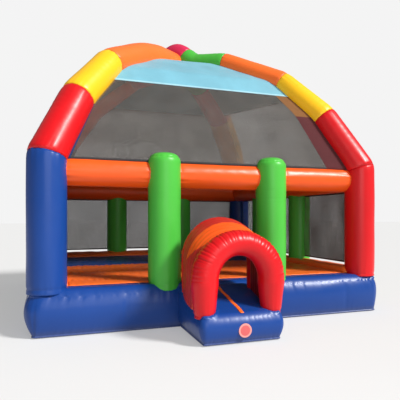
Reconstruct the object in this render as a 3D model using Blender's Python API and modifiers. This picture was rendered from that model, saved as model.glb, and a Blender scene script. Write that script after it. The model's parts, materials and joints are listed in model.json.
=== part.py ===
"""Inflatable bounce house: an air base with a step and crawl tunnel, posts, beams, two crossing
arches, a canopy, netting, a blower inlet and anchor rings. Metres, +Z up, front towards -Y."""

import math

import bmesh
import bpy
from mathutils import Matrix, Vector

# Driving dimensions, in metres.
GAP = 0.0003  # between pieces that touch
SKIN = 0.005  # wall of every air-filled piece
POST_LINE = 2.08  # from the middle of the house to the lines of posts
BASE_HALF = 2.32
BASE_HEIGHT = 0.52
BASE_ROUND = 0.14  # roundness of the base's upper and lower edges
BASE_CORNER = 0.08
BEAM_RADIUS = 0.165
BEAM_HEIGHT = 1.82
BEAM_SETBACK = 0.09  # how far the beams lie inside the lines of posts
MID_POST_TOP = 2.07
MID_POST_DOME = 0.13
POST_FOOT = 0.40  # posts start inside the base's round edge and are trimmed to it

# Height of the arches' axes at their bends, over the way from a corner (0) to the middle (1).
ARCH_PROFILE = ((0.0, 1.98), (0.17, 2.75), (0.38, 3.34), (0.70, 3.77), (1.0, 3.86))
# Radius of each arm's tube over the same way.
ARM_RADII = {
    "front_left": ((0.0, 0.215), (0.17, 0.21), (0.38, 0.195), (0.70, 0.195), (1.0, 0.19)),
    "front_right": ((0.0, 0.20), (0.17, 0.19), (0.38, 0.165), (0.70, 0.165), (1.0, 0.18)),
    "back_right": ((0.0, 0.22), (0.17, 0.24), (0.38, 0.235), (0.70, 0.20), (1.0, 0.19)),
    "back_left": ((0.0, 0.22), (0.17, 0.24), (0.38, 0.235), (0.70, 0.20), (1.0, 0.18)),
}
HUMP_HEIGHT = 0.19  # how far the upper arch climbs over the lower one
HUMP_START = 0.86
HUMP_STEP = 0.029
FRONT_CANOPY_EDGE = 0.285  # where the canopy's edge meets the arches
BACK_CANOPY_EDGE = 0.40
CANOPY_TOP = 0.87
NET_THICKNESS = 0.004
CANOPY_THICKNESS = 0.005

# Mid posts: name, x, y and radius.
MID_POSTS = (
    ("front_post_left_mid", -0.745, -POST_LINE, 0.20),
    ("front_post_right_mid", 0.685, -POST_LINE, 0.20),
    ("back_post_left_mid", -0.70, POST_LINE, 0.205),
    ("back_post_right_mid", 0.70, POST_LINE, 0.205),
    ("left_post_front_mid", -POST_LINE, -0.50, 0.185),
    ("left_post_back_mid", -POST_LINE, 0.95, 0.185),
    ("right_post_front_mid", POST_LINE, -0.50, 0.185),
    ("right_post_back_mid", POST_LINE, 0.95, 0.185),
)

# Inside the walls: an orange bolster round three sides and two floor mats.
BOLSTER_INNER_X = 1.85
BOLSTER_INNER_Y = 1.50
BOLSTER_OUTER = 2.16
BOLSTER_HEIGHT = 0.11
FLOOR_FRONT = -2.05
MAT_SPLIT = 0.0
MAT_THICKNESS = 0.005
BAFFLE_THICKNESS = 0.006

# Step and crawl tunnel.
TUNNEL_X = -0.17
STEP_HALF = 0.475
STEP_FRONT = -3.13
STEP_FRONT_HEIGHT = 0.30
STEP_BACK = -2.20
STEP_BACK_HEIGHT = 0.515
STEP_ROUND = 0.06
# The tunnel's two rings: radii are the tube's at the feet, where the arc starts and at the crown,
# and sleeve is how far the tunnel's padded sleeve stands out from the ring's middle line.
FRONT_RING = {
    "y": -2.97,
    "half": 0.38,
    "crown": 1.03,
    "radii": (0.105, 0.145, 0.135),
    "sleeve": 0.085,
}
REAR_RING = {
    "y": -2.435,
    "half": 0.405,
    "crown": 1.24,
    "radii": (0.055, 0.06, 0.06),
    "sleeve": 0.05,
}
SLEEVE_IN = 0.04  # how far the sleeve's lining is inside the rings' middle lines
STRIPE_WIDTH = 0.04
STRIPE_THICKNESS = 0.002
BADGE_RADIUS = 0.072
BADGE_HEIGHT = 0.145
BADGE_THICKNESS = 0.004

# Blower inlet at the back, and anchor rings low on the two sides.
INLET_X = 1.35
INLET_HEIGHT = 0.26
INLET_RADIUS = 0.11
INLET_LENGTH = 0.45
ANCHOR_Y = 1.50
ANCHOR_HEIGHT = 0.175
ANCHOR_OFFSET = 0.010  # from the base's side to the ring's pivot
TAB_TOP = 0.30
TAB_WIDTH = 0.036
TAB_THICKNESS = 0.004
TAB_HOLE = 0.0055
RING_WIRE = 0.004
RING_HALF = 0.03

BLUE = (0.030, 0.105, 0.470)
RED = (0.640, 0.010, 0.014)
YELLOW = (0.960, 0.640, 0.030)
ORANGE = (0.930, 0.150, 0.025)
GREEN = (0.080, 0.520, 0.070)
CRIMSON = (0.640, 0.020, 0.080)
AMBER = (0.720, 0.330, 0.030)
SKY = (0.250, 0.640, 0.760)
NET = (0.020, 0.020, 0.022)
FABRIC_WHITE = (0.700, 0.700, 0.680)
SALMON = (0.700, 0.120, 0.120)
STEEL = (0.550, 0.560, 0.570)
BLACK = (0.015, 0.015, 0.017)

# Colour panels of each arch arm: corner, then panels from the corner up, with where each one ends.
# A panel that ends past 1 runs over the middle of the house into the arm of the opposite corner.
ARMS = {
    "front_left": (("red", RED, 0.17), ("yellow", YELLOW, 0.38), ("orange", ORANGE, 1.0)),
    "front_right": (
        ("red", RED, 0.17),
        ("yellow", YELLOW, 0.38),
        ("orange", ORANGE, 0.70),
        ("green", GREEN, 0.94),
    ),
    "back_right": (("amber", AMBER, 0.38), ("red", RED, 0.70), ("green", GREEN, 1.0)),
    "back_left": (("blue", BLUE, 0.17), ("orange", ORANGE, 0.70), ("crimson", CRIMSON, 1.06)),
}
CORNERS = {
    "front_left": (-1, -1),
    "front_right": (1, -1),
    "back_right": (1, 1),
    "back_left": (-1, 1),
}
OPPOSITE = {
    "front_left": "back_right",
    "front_right": "back_left",
    "back_right": "front_left",
    "back_left": "front_right",
}
HUMPED = ("front_right", "back_left")
TUBE_SIDES = 16
RING_SIDES = 14


# ---------------------------------------------------------------- scene and objects


def clear_scene():
    for item in list(bpy.data.objects):
        bpy.data.objects.remove(item, do_unlink=True)


def collection(name):
    made = bpy.data.collections.new(name)
    bpy.context.scene.collection.children.link(made)
    return made


clear_scene()
HOUSE = collection("bounce_house")
CUTTERS = collection("cutters")


def material(name, colour, roughness=0.32, metallic=0.0):
    made = bpy.data.materials.new(name)
    made.use_nodes = True
    shader = made.node_tree.nodes["Principled BSDF"]
    shader.inputs["Base Color"].default_value = (*colour, 1.0)
    shader.inputs["Roughness"].default_value = roughness
    shader.inputs["Metallic"].default_value = metallic
    made.diffuse_color = (*colour, 1.0)
    return made


def add_mesh(name, mesh, colour=None, roughness=0.32, metallic=0.0, smooth=True):
    """A part when it has a colour, otherwise a cutter."""
    item = bpy.data.objects.new(name, mesh)
    if colour is None:
        CUTTERS.objects.link(item)
        item.hide_render = True
        item.display_type = "WIRE"
        return item
    HOUSE.objects.link(item)
    mesh.materials.append(material(name, colour, roughness, metallic))
    if smooth:
        mesh.shade_smooth()
    return item


def mesh_from(bm, name):
    bmesh.ops.recalc_face_normals(bm, faces=bm.faces)
    mesh = bpy.data.meshes.new(name)
    bm.to_mesh(mesh)
    bm.free()
    return mesh


def block(name, low, high, colour=None, **look):
    """A box between two corners."""
    bm = bmesh.new()
    bmesh.ops.create_cube(bm, size=1.0)
    size = [high[i] - low[i] for i in range(3)]
    middle = [(high[i] + low[i]) / 2 for i in range(3)]
    bmesh.ops.scale(bm, vec=size, verts=bm.verts)
    bmesh.ops.translate(bm, vec=middle, verts=bm.verts)
    return add_mesh(name, mesh_from(bm, name), colour, smooth=False, **look)


def drum(name, start, direction, radius, length, sides=24, colour=None, **look):
    """A solid cylinder from a point along a direction."""
    bm = bmesh.new()
    turn = Vector(direction).to_track_quat("Z", "Y").to_matrix().to_4x4()
    place = Matrix.Translation(Vector(start) + Vector(direction).normalized() * length / 2)
    bmesh.ops.create_cone(
        bm,
        cap_ends=True,
        segments=sides,
        radius1=radius,
        radius2=radius,
        depth=length,
        matrix=place @ turn,
    )
    return add_mesh(name, mesh_from(bm, name), colour, **look)


def cut(item, cutters, operation="DIFFERENCE"):
    for cutter in cutters:
        boolean = item.modifiers.new("cut_" + cutter.name, "BOOLEAN")
        boolean.operation = operation
        boolean.solver = "EXACT"
        boolean.object = cutter


def solidify(item, thickness, offset):
    shell = item.modifiers.new("skin", "SOLIDIFY")
    shell.thickness = thickness
    shell.offset = offset
    shell.use_even_offset = True


def bevel(item, width, segments):
    edges = item.modifiers.new("round_edges", "BEVEL")
    edges.width = width
    edges.segments = segments
    edges.limit_method = "ANGLE"


# ---------------------------------------------------------------- outlines and tubes


def arc(centre, radius, start, end, steps):
    """Points on an arc in a plane, from one angle to another in degrees."""
    angles = [math.radians(start + (end - start) * i / steps) for i in range(steps + 1)]
    return [(centre[0] + radius * math.cos(a), centre[1] + radius * math.sin(a)) for a in angles]


def outline_mesh(name, outlines, depth, round_edge=0.0, round_steps=3):
    """The mesh of a flat outline, or one with holes, extruded to a depth about its plane."""
    curve = bpy.data.curves.new(name, "CURVE")
    curve.dimensions = "2D"
    curve.fill_mode = "BOTH"
    curve.extrude = depth / 2 - round_edge
    curve.bevel_depth = round_edge
    curve.bevel_resolution = round_steps
    for points in outlines:
        spline = curve.splines.new("POLY")
        spline.points.add(len(points) - 1)
        for point, (x, y) in zip(spline.points, points, strict=True):
            point.co = (x, y, 0.0, 1.0)
        spline.use_cyclic_u = True
    return curve_mesh(name, curve)


def curve_mesh(name, curve):
    """A closed mesh made from a curve, with its caps welded on."""
    item = bpy.data.objects.new(name, curve)
    bpy.context.scene.collection.objects.link(item)
    bpy.context.view_layer.update()
    graph = bpy.context.evaluated_depsgraph_get()
    mesh = bpy.data.meshes.new_from_object(item.evaluated_get(graph), depsgraph=graph)
    bpy.data.objects.remove(item, do_unlink=True)
    bpy.data.curves.remove(curve)
    bm = bmesh.new()
    bm.from_mesh(mesh)
    bpy.data.meshes.remove(mesh)
    bmesh.ops.remove_doubles(bm, verts=bm.verts, dist=0.00005)
    return mesh_from(bm, name)


def ring(station, side, sides):
    """Points of a round section: side is the section's level direction."""
    centre, direction, radius = station
    up = direction.cross(side).normalized()
    angles = [2 * math.pi * i / sides for i in range(sides)]
    return [centre + radius * (math.cos(a) * side + math.sin(a) * up) for a in angles]


def loft(name, rings, closed):
    """A wall between successive rings, closed on itself or with flat ends. Always split the same
    way, so that a tube and its cutter have the same facets."""
    bm = bmesh.new()
    rows = [[bm.verts.new(point) for point in points] for points in rings]
    pairs = list(zip(rows, rows[1:] + rows[:1], strict=True))
    for one, other in pairs if closed else pairs[:-1]:
        count = len(one)
        for i in range(count):
            j = (i + 1) % count
            bm.faces.new((one[i], one[j], other[j]))
            bm.faces.new((one[i], other[j], other[i]))
    if not closed:
        bm.faces.new(rows[0])
        bm.faces.new(rows[-1])
    return mesh_from(bm, name)


def skin_tube(name, stations, side, colour, sides=TUBE_SIDES):
    """An air tube with an open end at each seam: an outer and an inner wall."""
    inner = [(centre, direction, radius - SKIN) for centre, direction, radius in stations]
    rings = [ring(s, side, sides) for s in stations]
    rings += [ring(s, side, sides) for s in reversed(inner)]
    return add_mesh(name, loft(name, rings, closed=True), colour)


def solid_tube(name, stations, side, sides=TUBE_SIDES):
    """A cutter with the shape of a tube, a gap larger."""
    grown = [(centre, direction, radius + GAP) for centre, direction, radius in stations]
    rings = [ring(s, side, sides) for s in grown]
    return add_mesh(name, loft(name, rings, closed=False))


# ---------------------------------------------------------------- arches


def between(profile, share):
    """A value read from a profile of straight stretches."""
    spans = list(zip(profile, profile[1:], strict=False))
    low, high = next((a, b) for a, b in spans if share <= b[0] or b is profile[-1])
    return low[1] + (high[1] - low[1]) * (share - low[0]) / (high[0] - low[0])


def arch_height(share, humped):
    """Height of an arch's axis, by how far it is from its corner to the middle."""
    height = between(ARCH_PROFILE, share)
    if humped and share > HUMP_START:
        climb = (share - HUMP_START) / (1 - HUMP_START)
        height += HUMP_HEIGHT * climb * climb * (3 - 2 * climb)
    return height


def arch_point(corner, share):
    if share > 1:
        return arch_point(OPPOSITE[corner], 2 - share)
    x, y = CORNERS[corner]
    reach = POST_LINE * (1 - share)
    return Vector((x * reach, y * reach, arch_height(share, corner in HUMPED)))


def arch_direction(corner, share):
    """The way up along the arm. At its foot it is halfway between the post's and the arm's."""
    step = 0.004
    low = max(share - step, 0.0)
    along = (arch_point(corner, share + step) - arch_point(corner, low)).normalized()
    if share == 0.0:
        along = (along + Vector((0, 0, 1))).normalized()
    return along


def arch_radius(corner, share):
    if share > 1:
        return arch_radius(OPPOSITE[corner], 2 - share)
    return between(ARM_RADII[corner], share)


def side_of(corner):
    """The level direction across an arm."""
    x, y = CORNERS[corner]
    return Vector((-y, x, 0)).normalized()


def panel_stations(corner, start, end):
    """Stations on one panel of an arm, one at each bend, closer together over the hump."""
    bends = [share for share, _ in ARCH_PROFILE if start < share < min(end, 1.0)]
    stops = [start, *bends, end]
    shares = [start]
    for low, high in zip(stops, stops[1:], strict=False):
        count = max(1, round((high - low) / 0.16))
        shares += [low + (high - low) * (i + 1) / count for i in range(count)]
    if corner in HUMPED and end > HUMP_START:
        shares = [s for s in shares if s < HUMP_START]
        steps = round((end - HUMP_START) / HUMP_STEP)
        shares += [HUMP_START + (end - HUMP_START) * i / steps for i in range(steps + 1)]
    return [
        (arch_point(corner, s), arch_direction(corner, s), arch_radius(corner, s)) for s in shares
    ]


def arm_stations(corner):
    """Stations all the way up an arm, the same ones that its panels have."""
    stations = panel_stations(corner, 0.0, 1.0)[:1]
    start = 0.0
    for _, _, end in ARMS[corner]:
        stations += panel_stations(corner, start, end)[1:]
        start = end
    return stations


def shifted(stations):
    """Stations with half a gap taken off each end."""
    first, last = stations[0], stations[-1]
    start = (first[0] + first[1] * GAP / 2, first[1], first[2])
    end = (last[0] - last[1] * GAP / 2, last[1], last[2])
    return [start, *stations[1:-1], end]


def post_stations(corner):
    foot = arch_point(corner, 0.0)
    radius = arch_radius(corner, 0.0)
    upright = Vector((0, 0, 1))
    low = Vector((foot.x, foot.y, POST_FOOT))
    neck = Vector((foot.x, foot.y, foot.z - 0.25))
    top = (foot, arch_direction(corner, 0.0), radius)
    return [(low, upright, radius), (neck, upright, radius), top]


def arch_cutter(name, corner, opposite):
    """The whole of one arch with its two posts, as one solid."""
    rising = post_stations(corner)[:-1] + arm_stations(corner)
    falling = post_stations(opposite)[:-1] + arm_stations(opposite)[:-1]
    falling = [(centre, -direction, radius) for centre, direction, radius in reversed(falling)]
    return solid_tube(name, rising + falling, side_of(corner))


# ---------------------------------------------------------------- cutters


def base_outline(grow):
    edge = BASE_HALF - BASE_ROUND + grow
    inner = edge - BASE_CORNER
    points = []
    for quarter, (x, y) in enumerate(((1, 1), (-1, 1), (-1, -1), (1, -1))):
        start = 90 * quarter
        points += arc((x * inner, y * inner), BASE_CORNER, start, start + 90, 3)
    return points


def base_mesh(name, grow):
    mesh = outline_mesh(name, [base_outline(0.0)], BASE_HEIGHT + 2 * grow, BASE_ROUND + grow, 3)
    mesh.transform(Matrix.Translation((0, 0, BASE_HEIGHT / 2)))
    return mesh


def mid_post_profile(radius, grow):
    """Half outline of a mid post with an open foot: up its side and over its dome to the axis."""
    shoulder = MID_POST_TOP - MID_POST_DOME
    dome = [
        ((radius + grow) * math.cos(math.radians(a)), (MID_POST_DOME + grow) * math.sin(math.radians(a)))
        for a in (0, 18, 36, 54, 72)
    ]
    top = (0.0, MID_POST_TOP + grow)
    return [(radius + grow, POST_FOOT)] + [(r, shoulder + z) for r, z in dome] + [top]


def turned(name, profile, place, colour=None):
    """A profile turned about a vertical line, so that a facet faces along each axis."""
    mesh = bpy.data.meshes.new(name)
    edges = [(i, i + 1) for i in range(len(profile) - 1)]
    turn = math.pi / TUBE_SIDES
    mesh.from_pydata([(r * math.cos(turn), r * math.sin(turn), z) for r, z in profile], edges, [])
    item = add_mesh(name, mesh, colour)
    item.location = (place[0], place[1], 0.0)
    screw = item.modifiers.new("turn", "SCREW")
    screw.steps = TUBE_SIDES
    screw.render_steps = TUBE_SIDES
    screw.use_merge_vertices = True
    screw.merge_threshold = 0.0001
    screw.use_normal_calculate = True
    return item


def step_mesh(name, grow):
    """The step: a box whose top slopes up to the base."""
    low = (TUNNEL_X - STEP_HALF - grow, STEP_FRONT - grow, 0.0)
    high = (TUNNEL_X + STEP_HALF + grow, STEP_BACK, 1.0)
    bm = bmesh.new()
    bmesh.ops.create_cube(bm, size=1.0)
    for vert in bm.verts:
        x, y, z = vert.co
        vert.co.x = high[0] if x > 0 else low[0]
        vert.co.y = high[1] if y > 0 else low[1]
        top = STEP_BACK_HEIGHT if y > 0 else STEP_FRONT_HEIGHT
        vert.co.z = top + grow if z > 0 else 0.0
    return mesh_from(bm, name)


LOW_ARCH = arch_cutter("low_arch_cutter", "front_left", "back_right")
HIGH_ARCH = arch_cutter("high_arch_cutter", "front_right", "back_left")
ARCHES = (LOW_ARCH, HIGH_ARCH)
BASE_CUTTER = add_mesh("base_cutter", base_mesh("base_cutter", GAP))
STEP_CUTTER = add_mesh("step_cutter", step_mesh("step_cutter", GAP))
bevel(STEP_CUTTER, STEP_ROUND, 3)

BEAM_LINE = POST_LINE - BEAM_SETBACK
WALLS = {
    "front": ("x", -1),
    "back": ("x", 1),
    "left": ("y", -1),
    "right": ("y", 1),
}


def beam_ends(wall):
    """Where a wall's beam starts and the direction that it runs in."""
    axis, sign = WALLS[wall]
    if axis == "x":
        return Vector((-BEAM_LINE, sign * BEAM_LINE, BEAM_HEIGHT)), Vector((1, 0, 0))
    return Vector((sign * BEAM_LINE, -BEAM_LINE, BEAM_HEIGHT)), Vector((0, 1, 0))


BEAM_CUTTERS = {}
for wall_name in WALLS:
    beam_start, beam_way = beam_ends(wall_name)
    BEAM_CUTTERS[wall_name] = drum(
        wall_name + "_beam_cutter",
        beam_start,
        beam_way,
        BEAM_RADIUS + GAP,
        2 * BEAM_LINE,
        TUBE_SIDES,
    )

MID_CUTTERS = {}
for post_name, post_x, post_y, post_radius in MID_POSTS:
    solid_profile = [(0.0, POST_FOOT), *mid_post_profile(post_radius, GAP)]
    MID_CUTTERS[post_name] = turned(post_name + "_cutter", solid_profile, (post_x, post_y))


def mids_on(wall):
    return [name for name, *_ in MID_POSTS if name.startswith(wall)]


# ---------------------------------------------------------------- base, floor and step


def make_base():
    shell = add_mesh("base_shell", base_mesh("base_shell", 0.0), BLUE)
    solidify(shell, SKIN, -1.0)
    mouth = (INLET_X, BASE_HALF - 0.1, INLET_HEIGHT)
    hole = drum("inlet_hole_cutter", mouth, (0, 1, 0), INLET_RADIUS - SKIN, 0.2)
    cut(shell, [hole])


def make_baffles():
    """Cloth webs inside the base that hold its top and bottom flat, with air ports."""
    low, high = SKIN + GAP, BASE_HEIGHT - SKIN - GAP
    half, thin = 2.15, BAFFLE_THICKNESS / 2
    lines = (-1.05, 0.0, 1.05)
    web = block("base_baffles", (-half, -thin, low), (half, thin, high), FABRIC_WHITE)
    for i, x in enumerate(lines):
        cross = block(f"baffle_web_{i}", (x - thin, -half, low), (x + thin, half, high))
        cut(web, [cross], "UNION")
    for i, y in enumerate((-1.1, 1.1)):
        start = (-half, y, BASE_HEIGHT / 2)
        cut(web, [drum(f"air_port_cutter_{i}", start, (1, 0, 0), 0.12, 2 * half, 16)])
    for i, x in enumerate((-1.6, -0.5, 0.5, 1.6)):
        start = (x, -0.05, BASE_HEIGHT / 2)
        cut(web, [drum(f"cross_port_cutter_{i}", start, (0, 1, 0), 0.12, 0.1, 16)])


def make_floor():
    level = BASE_HEIGHT + GAP
    edge = BOLSTER_INNER_X - GAP
    top = level + MAT_THICKNESS
    front = block("floor_mat_front", (-edge, FLOOR_FRONT, level), (edge, MAT_SPLIT, top), ORANGE)
    cut(front, [MID_CUTTERS[name] for name in mids_on("front")])
    block(
        "floor_mat_center",
        (-edge, MAT_SPLIT + GAP, level),
        (edge, BOLSTER_INNER_Y - GAP, top),
        BLUE,
    )


def make_bolster():
    """A low padded rim along the left, back and right walls, open at the front."""
    outer, inner = BOLSTER_OUTER, BOLSTER_INNER_X
    plan = [
        (outer, FLOOR_FRONT),
        (outer, outer),
        (-outer, outer),
        (-outer, FLOOR_FRONT),
        (-inner, FLOOR_FRONT),
        (-inner, BOLSTER_INNER_Y),
        (inner, BOLSTER_INNER_Y),
        (inner, FLOOR_FRONT),
    ]
    mesh = outline_mesh("wall_bolster", [plan], BOLSTER_HEIGHT)
    mesh.transform(Matrix.Translation((0, 0, BASE_HEIGHT + GAP + BOLSTER_HEIGHT / 2)))
    rim = add_mesh("wall_bolster", mesh, ORANGE)
    solidify(rim, SKIN, -1.0)
    cut(rim, ARCHES)
    cut(rim, [MID_CUTTERS[name] for wall in ("left", "back", "right") for name in mids_on(wall)])


def make_step():
    step = add_mesh("entry_step", step_mesh("entry_step", 0.0), BLUE)
    bevel(step, STEP_ROUND, 3)
    solidify(step, SKIN, -1.0)
    cut(step, [BASE_CUTTER])


def step_slope():
    return math.atan2(STEP_BACK_HEIGHT - STEP_FRONT_HEIGHT, STEP_BACK - STEP_FRONT)


def step_top(y):
    """Height of the step's top at a place along it."""
    return STEP_FRONT_HEIGHT + (y - STEP_FRONT) * math.tan(step_slope())


def make_stripe():
    start, end = STEP_FRONT + STEP_ROUND, -BASE_HALF - 0.02
    middle = (start + end) / 2
    length = (end - start) / math.cos(step_slope())
    stripe = block(
        "step_stripe",
        (-STRIPE_WIDTH / 2, -length / 2, GAP),
        (STRIPE_WIDTH / 2, length / 2, GAP + STRIPE_THICKNESS),
        ORANGE,
    )
    stripe.location = (TUNNEL_X, middle, step_top(middle))
    stripe.rotation_euler = (step_slope(), 0, 0)


def make_badge():
    start = (TUNNEL_X, STEP_FRONT - GAP, BADGE_HEIGHT)
    drum("round_badge", start, (0, -1, 0), BADGE_RADIUS, BADGE_THICKNESS, 32, SALMON)


# ---------------------------------------------------------------- crawl tunnel


def tunnel_ring(name, shape, colour):
    """A padded arch tube that stands on the step with open feet."""
    half, crown = shape["half"], shape["crown"]
    foot_radius, leg_radius, crown_radius = shape["radii"]
    spring = crown - half
    foot = step_top(shape["y"]) - 0.08
    across = Vector((0, 1, 0))
    places = [(-half, foot), (-half, (foot + spring) / 2)]
    places += arc((0, spring), half, 180, 0, 10)
    places += [(half, (foot + spring) / 2), (half, foot)]
    stations = []
    for x, z in places:
        if z > spring:
            way = Vector((z - spring, 0, -x)).normalized()
            radius = leg_radius + (crown_radius - leg_radius) * (z - spring) / half
        else:
            way = Vector((0, 0, 1 if x < 0 else -1))
            radius = foot_radius + (leg_radius - foot_radius) * (z - foot) / (spring - foot)
        stations.append((Vector((TUNNEL_X + x, shape["y"], z)), way, radius))
    made = skin_tube(name, stations, across, colour, RING_SIDES)
    cut(made, [STEP_CUTTER])


def sleeve_section(shape, y, foot):
    """One end of the tunnel's sleeve: an arch band as a closed outline."""
    spring = shape["crown"] - shape["half"]
    outer = shape["half"] + shape["sleeve"]
    inner = shape["half"] - SLEEVE_IN
    points = [(-outer, foot)] + arc((0, spring), outer, 180, 0, 12) + [(outer, foot)]
    points += [(inner, foot)] + arc((0, spring), inner, 0, 180, 12) + [(-inner, foot)]
    return [Vector((TUNNEL_X + x, y, z)) for x, z in points]


def make_tunnel():
    tunnel_ring("tunnel_front_ring", FRONT_RING, RED)
    tunnel_ring("tunnel_rear_ring", REAR_RING, RED)
    front = FRONT_RING["y"] + max(FRONT_RING["radii"]) + 0.002
    rear = REAR_RING["y"] - max(REAR_RING["radii"]) - 0.002
    foot = step_top(front) - 0.02
    sections = [sleeve_section(FRONT_RING, front, foot), sleeve_section(REAR_RING, rear, foot)]
    sleeve = add_mesh("tunnel_sleeve", loft("tunnel_sleeve", sections, closed=False), ORANGE)
    cut(sleeve, [STEP_CUTTER])


# ---------------------------------------------------------------- posts, beams and arches


def make_corner_posts():
    for corner in CORNERS:
        stations = shifted(post_stations(corner))
        colour = RED if corner == "front_right" else BLUE
        post = skin_tube(corner + "_post", stations, side_of(corner), colour)
        cut(post, [BASE_CUTTER])


def strap_slot(name, x, y, wall):
    """Room under the beam for the net's webbing where it runs through a post."""
    axis, _ = WALLS[wall]
    reach = 0.25
    thin = NET_THICKNESS / 2 + GAP
    wide = (reach, thin) if axis == "x" else (thin, reach)
    return block(
        name + "_slot_cutter",
        (x - wide[0], y - wide[1], STRAP_LOW - GAP),
        (x + wide[0], y + wide[1], STRAP_HIGH + GAP),
    )


def make_mid_posts():
    for name, x, y, radius in MID_POSTS:
        wall = name.split("_")[0]
        post = turned(name, mid_post_profile(radius, 0.0), (x, y), GREEN)
        solidify(post, SKIN, -1.0)
        cut(post, [BASE_CUTTER, BEAM_CUTTERS[wall]])
        if wall != "front":
            cut(post, [strap_slot(name, x, y, wall)])


def make_beams():
    for wall in WALLS:
        start, way = beam_ends(wall)
        level = Vector((0, 0, 1)).cross(way)
        ends = [(start, way, BEAM_RADIUS), (start + way * 2 * BEAM_LINE, way, BEAM_RADIUS)]
        beam = skin_tube(wall + "_beam", ends, level, ORANGE)
        cut(beam, ARCHES)
        if wall in ("left", "right"):
            cut(beam, [BEAM_CUTTERS["front"], BEAM_CUTTERS["back"]])


def make_arches():
    for corner, panels in ARMS.items():
        start = 0.0
        for colour_name, colour, end in panels:
            stations = shifted(panel_stations(corner, start, end))
            name = f"{corner}_arch_{colour_name}"
            panel = skin_tube(name, stations, side_of(corner), colour)
            if corner in HUMPED and end > HUMP_START:
                cut(panel, [LOW_ARCH])
            start = end


# ---------------------------------------------------------------- netting and canopy

STRAP_HIGH = BEAM_HEIGHT - BEAM_RADIUS - 2 * GAP
STRAP_LOW = STRAP_HIGH - 0.012
NET_FOOT = BASE_HEIGHT + BOLSTER_HEIGHT + 3 * GAP
NET_CLEAR = 0.002  # between a net's edge and a tube


def wall_corners(wall):
    """The two corners of a wall, in the order that its beam runs."""
    return {
        "front": ("front_left", "front_right"),
        "back": ("back_left", "back_right"),
        "left": ("front_left", "back_left"),
        "right": ("front_right", "back_right"),
    }[wall]


def canopy_edge(corner):
    return FRONT_CANOPY_EDGE if corner.startswith("front") else BACK_CANOPY_EDGE


def sheet(name, rows, thickness, colour, roughness):
    """A cloth sheet between pairs of points, thickened to both sides."""
    bm = bmesh.new()
    lines = [[bm.verts.new(point) for point in row] for row in rows]
    for low, high in zip(lines, lines[1:], strict=False):
        for i in range(len(low) - 1):
            bm.faces.new((low[i], low[i + 1], high[i + 1]))
            bm.faces.new((low[i], high[i + 1], high[i]))
    made = add_mesh(name, mesh_from(bm, name), colour, roughness)
    solidify(made, thickness, 0.0)
    return made


def between_arms(wall, shares):
    """Rows of points from one arm of a wall to the other, two shares for each row."""
    one, other = wall_corners(wall)
    return [(flat_point(one, a), flat_point(other, b)) for a, b in shares]


def flat_point(corner, share):
    """A point on an arm's axis, without the hump."""
    point = arch_point(corner, share)
    return Vector((point.x, point.y, arch_height(share, False)))


def make_upper_nets():
    for wall in WALLS:
        one, other = wall_corners(wall)
        steps = 6
        shares = [
            (canopy_edge(one) * i / steps, canopy_edge(other) * i / steps) for i in range(steps + 1)
        ]
        shares[-1] = (canopy_edge(one) - 0.002, canopy_edge(other) - 0.002)
        rows = between_arms(wall, shares)
        net = sheet(wall + "_upper_net", rows, NET_THICKNESS, NET, 0.8)
        cut(net, [*ARCHES, *(MID_CUTTERS[name] for name in mids_on(wall))])


def make_canopy():
    for wall in WALLS:
        one, other = wall_corners(wall)
        steps = 6
        shares = []
        for i in range(steps + 1):
            u = i / steps
            shares.append(
                tuple(canopy_edge(c) + (CANOPY_TOP - canopy_edge(c)) * u for c in (one, other))
            )
        gore = sheet(wall + "_canopy", between_arms(wall, shares), CANOPY_THICKNESS, SKY, 0.5)
        cut(gore, ARCHES)


def make_lower_nets():
    """Nets under the back and side beams: three panels that hang from one webbing strap."""
    for wall in ("back", "left", "right"):
        axis, sign = WALLS[wall]
        corner_radii = [arch_radius(c, 0.0) for c in wall_corners(wall)]
        stops = [-POST_LINE + corner_radii[0] + NET_CLEAR]
        for name, x, y, radius in MID_POSTS:
            if name.startswith(wall):
                place = x if axis == "x" else y
                stops += [place - radius - NET_CLEAR, place + radius + NET_CLEAR]
        stops.append(POST_LINE - corner_radii[1] - NET_CLEAR)
        hanging = []
        for start, end in zip(stops[::2], stops[1::2], strict=True):
            hanging += [(start, STRAP_LOW), (start, NET_FOOT), (end, NET_FOOT), (end, STRAP_LOW)]
        comb = [(stops[0], STRAP_HIGH), *hanging[1:-1], (stops[-1], STRAP_HIGH)]
        mesh = outline_mesh(wall + "_lower_net", [comb], NET_THICKNESS)
        upright = Matrix.Rotation(math.radians(90), 4, "X")
        turn = Matrix.Rotation(math.radians(90), 4, "Z") if axis == "y" else Matrix.Identity(4)
        line = sign * POST_LINE
        place = (0, line, 0) if axis == "x" else (line, 0, 0)
        mesh.transform(Matrix.Translation(place) @ turn @ upright)
        add_mesh(wall + "_lower_net", mesh, NET, 0.8)


# ---------------------------------------------------------------- blower inlet and anchors


def make_inlet():
    start = Vector((INLET_X, BASE_HALF + GAP, INLET_HEIGHT))
    way = Vector((0, 1, 0))
    flare = 0.02
    stations = [
        (start, way, INLET_RADIUS),
        (start + way * INLET_LENGTH * 0.7, way, INLET_RADIUS),
        (start + way * INLET_LENGTH, way, INLET_RADIUS + flare),
    ]
    skin_tube("blower_inlet_sleeve", stations, Vector((1, 0, 0)), BLUE)


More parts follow.
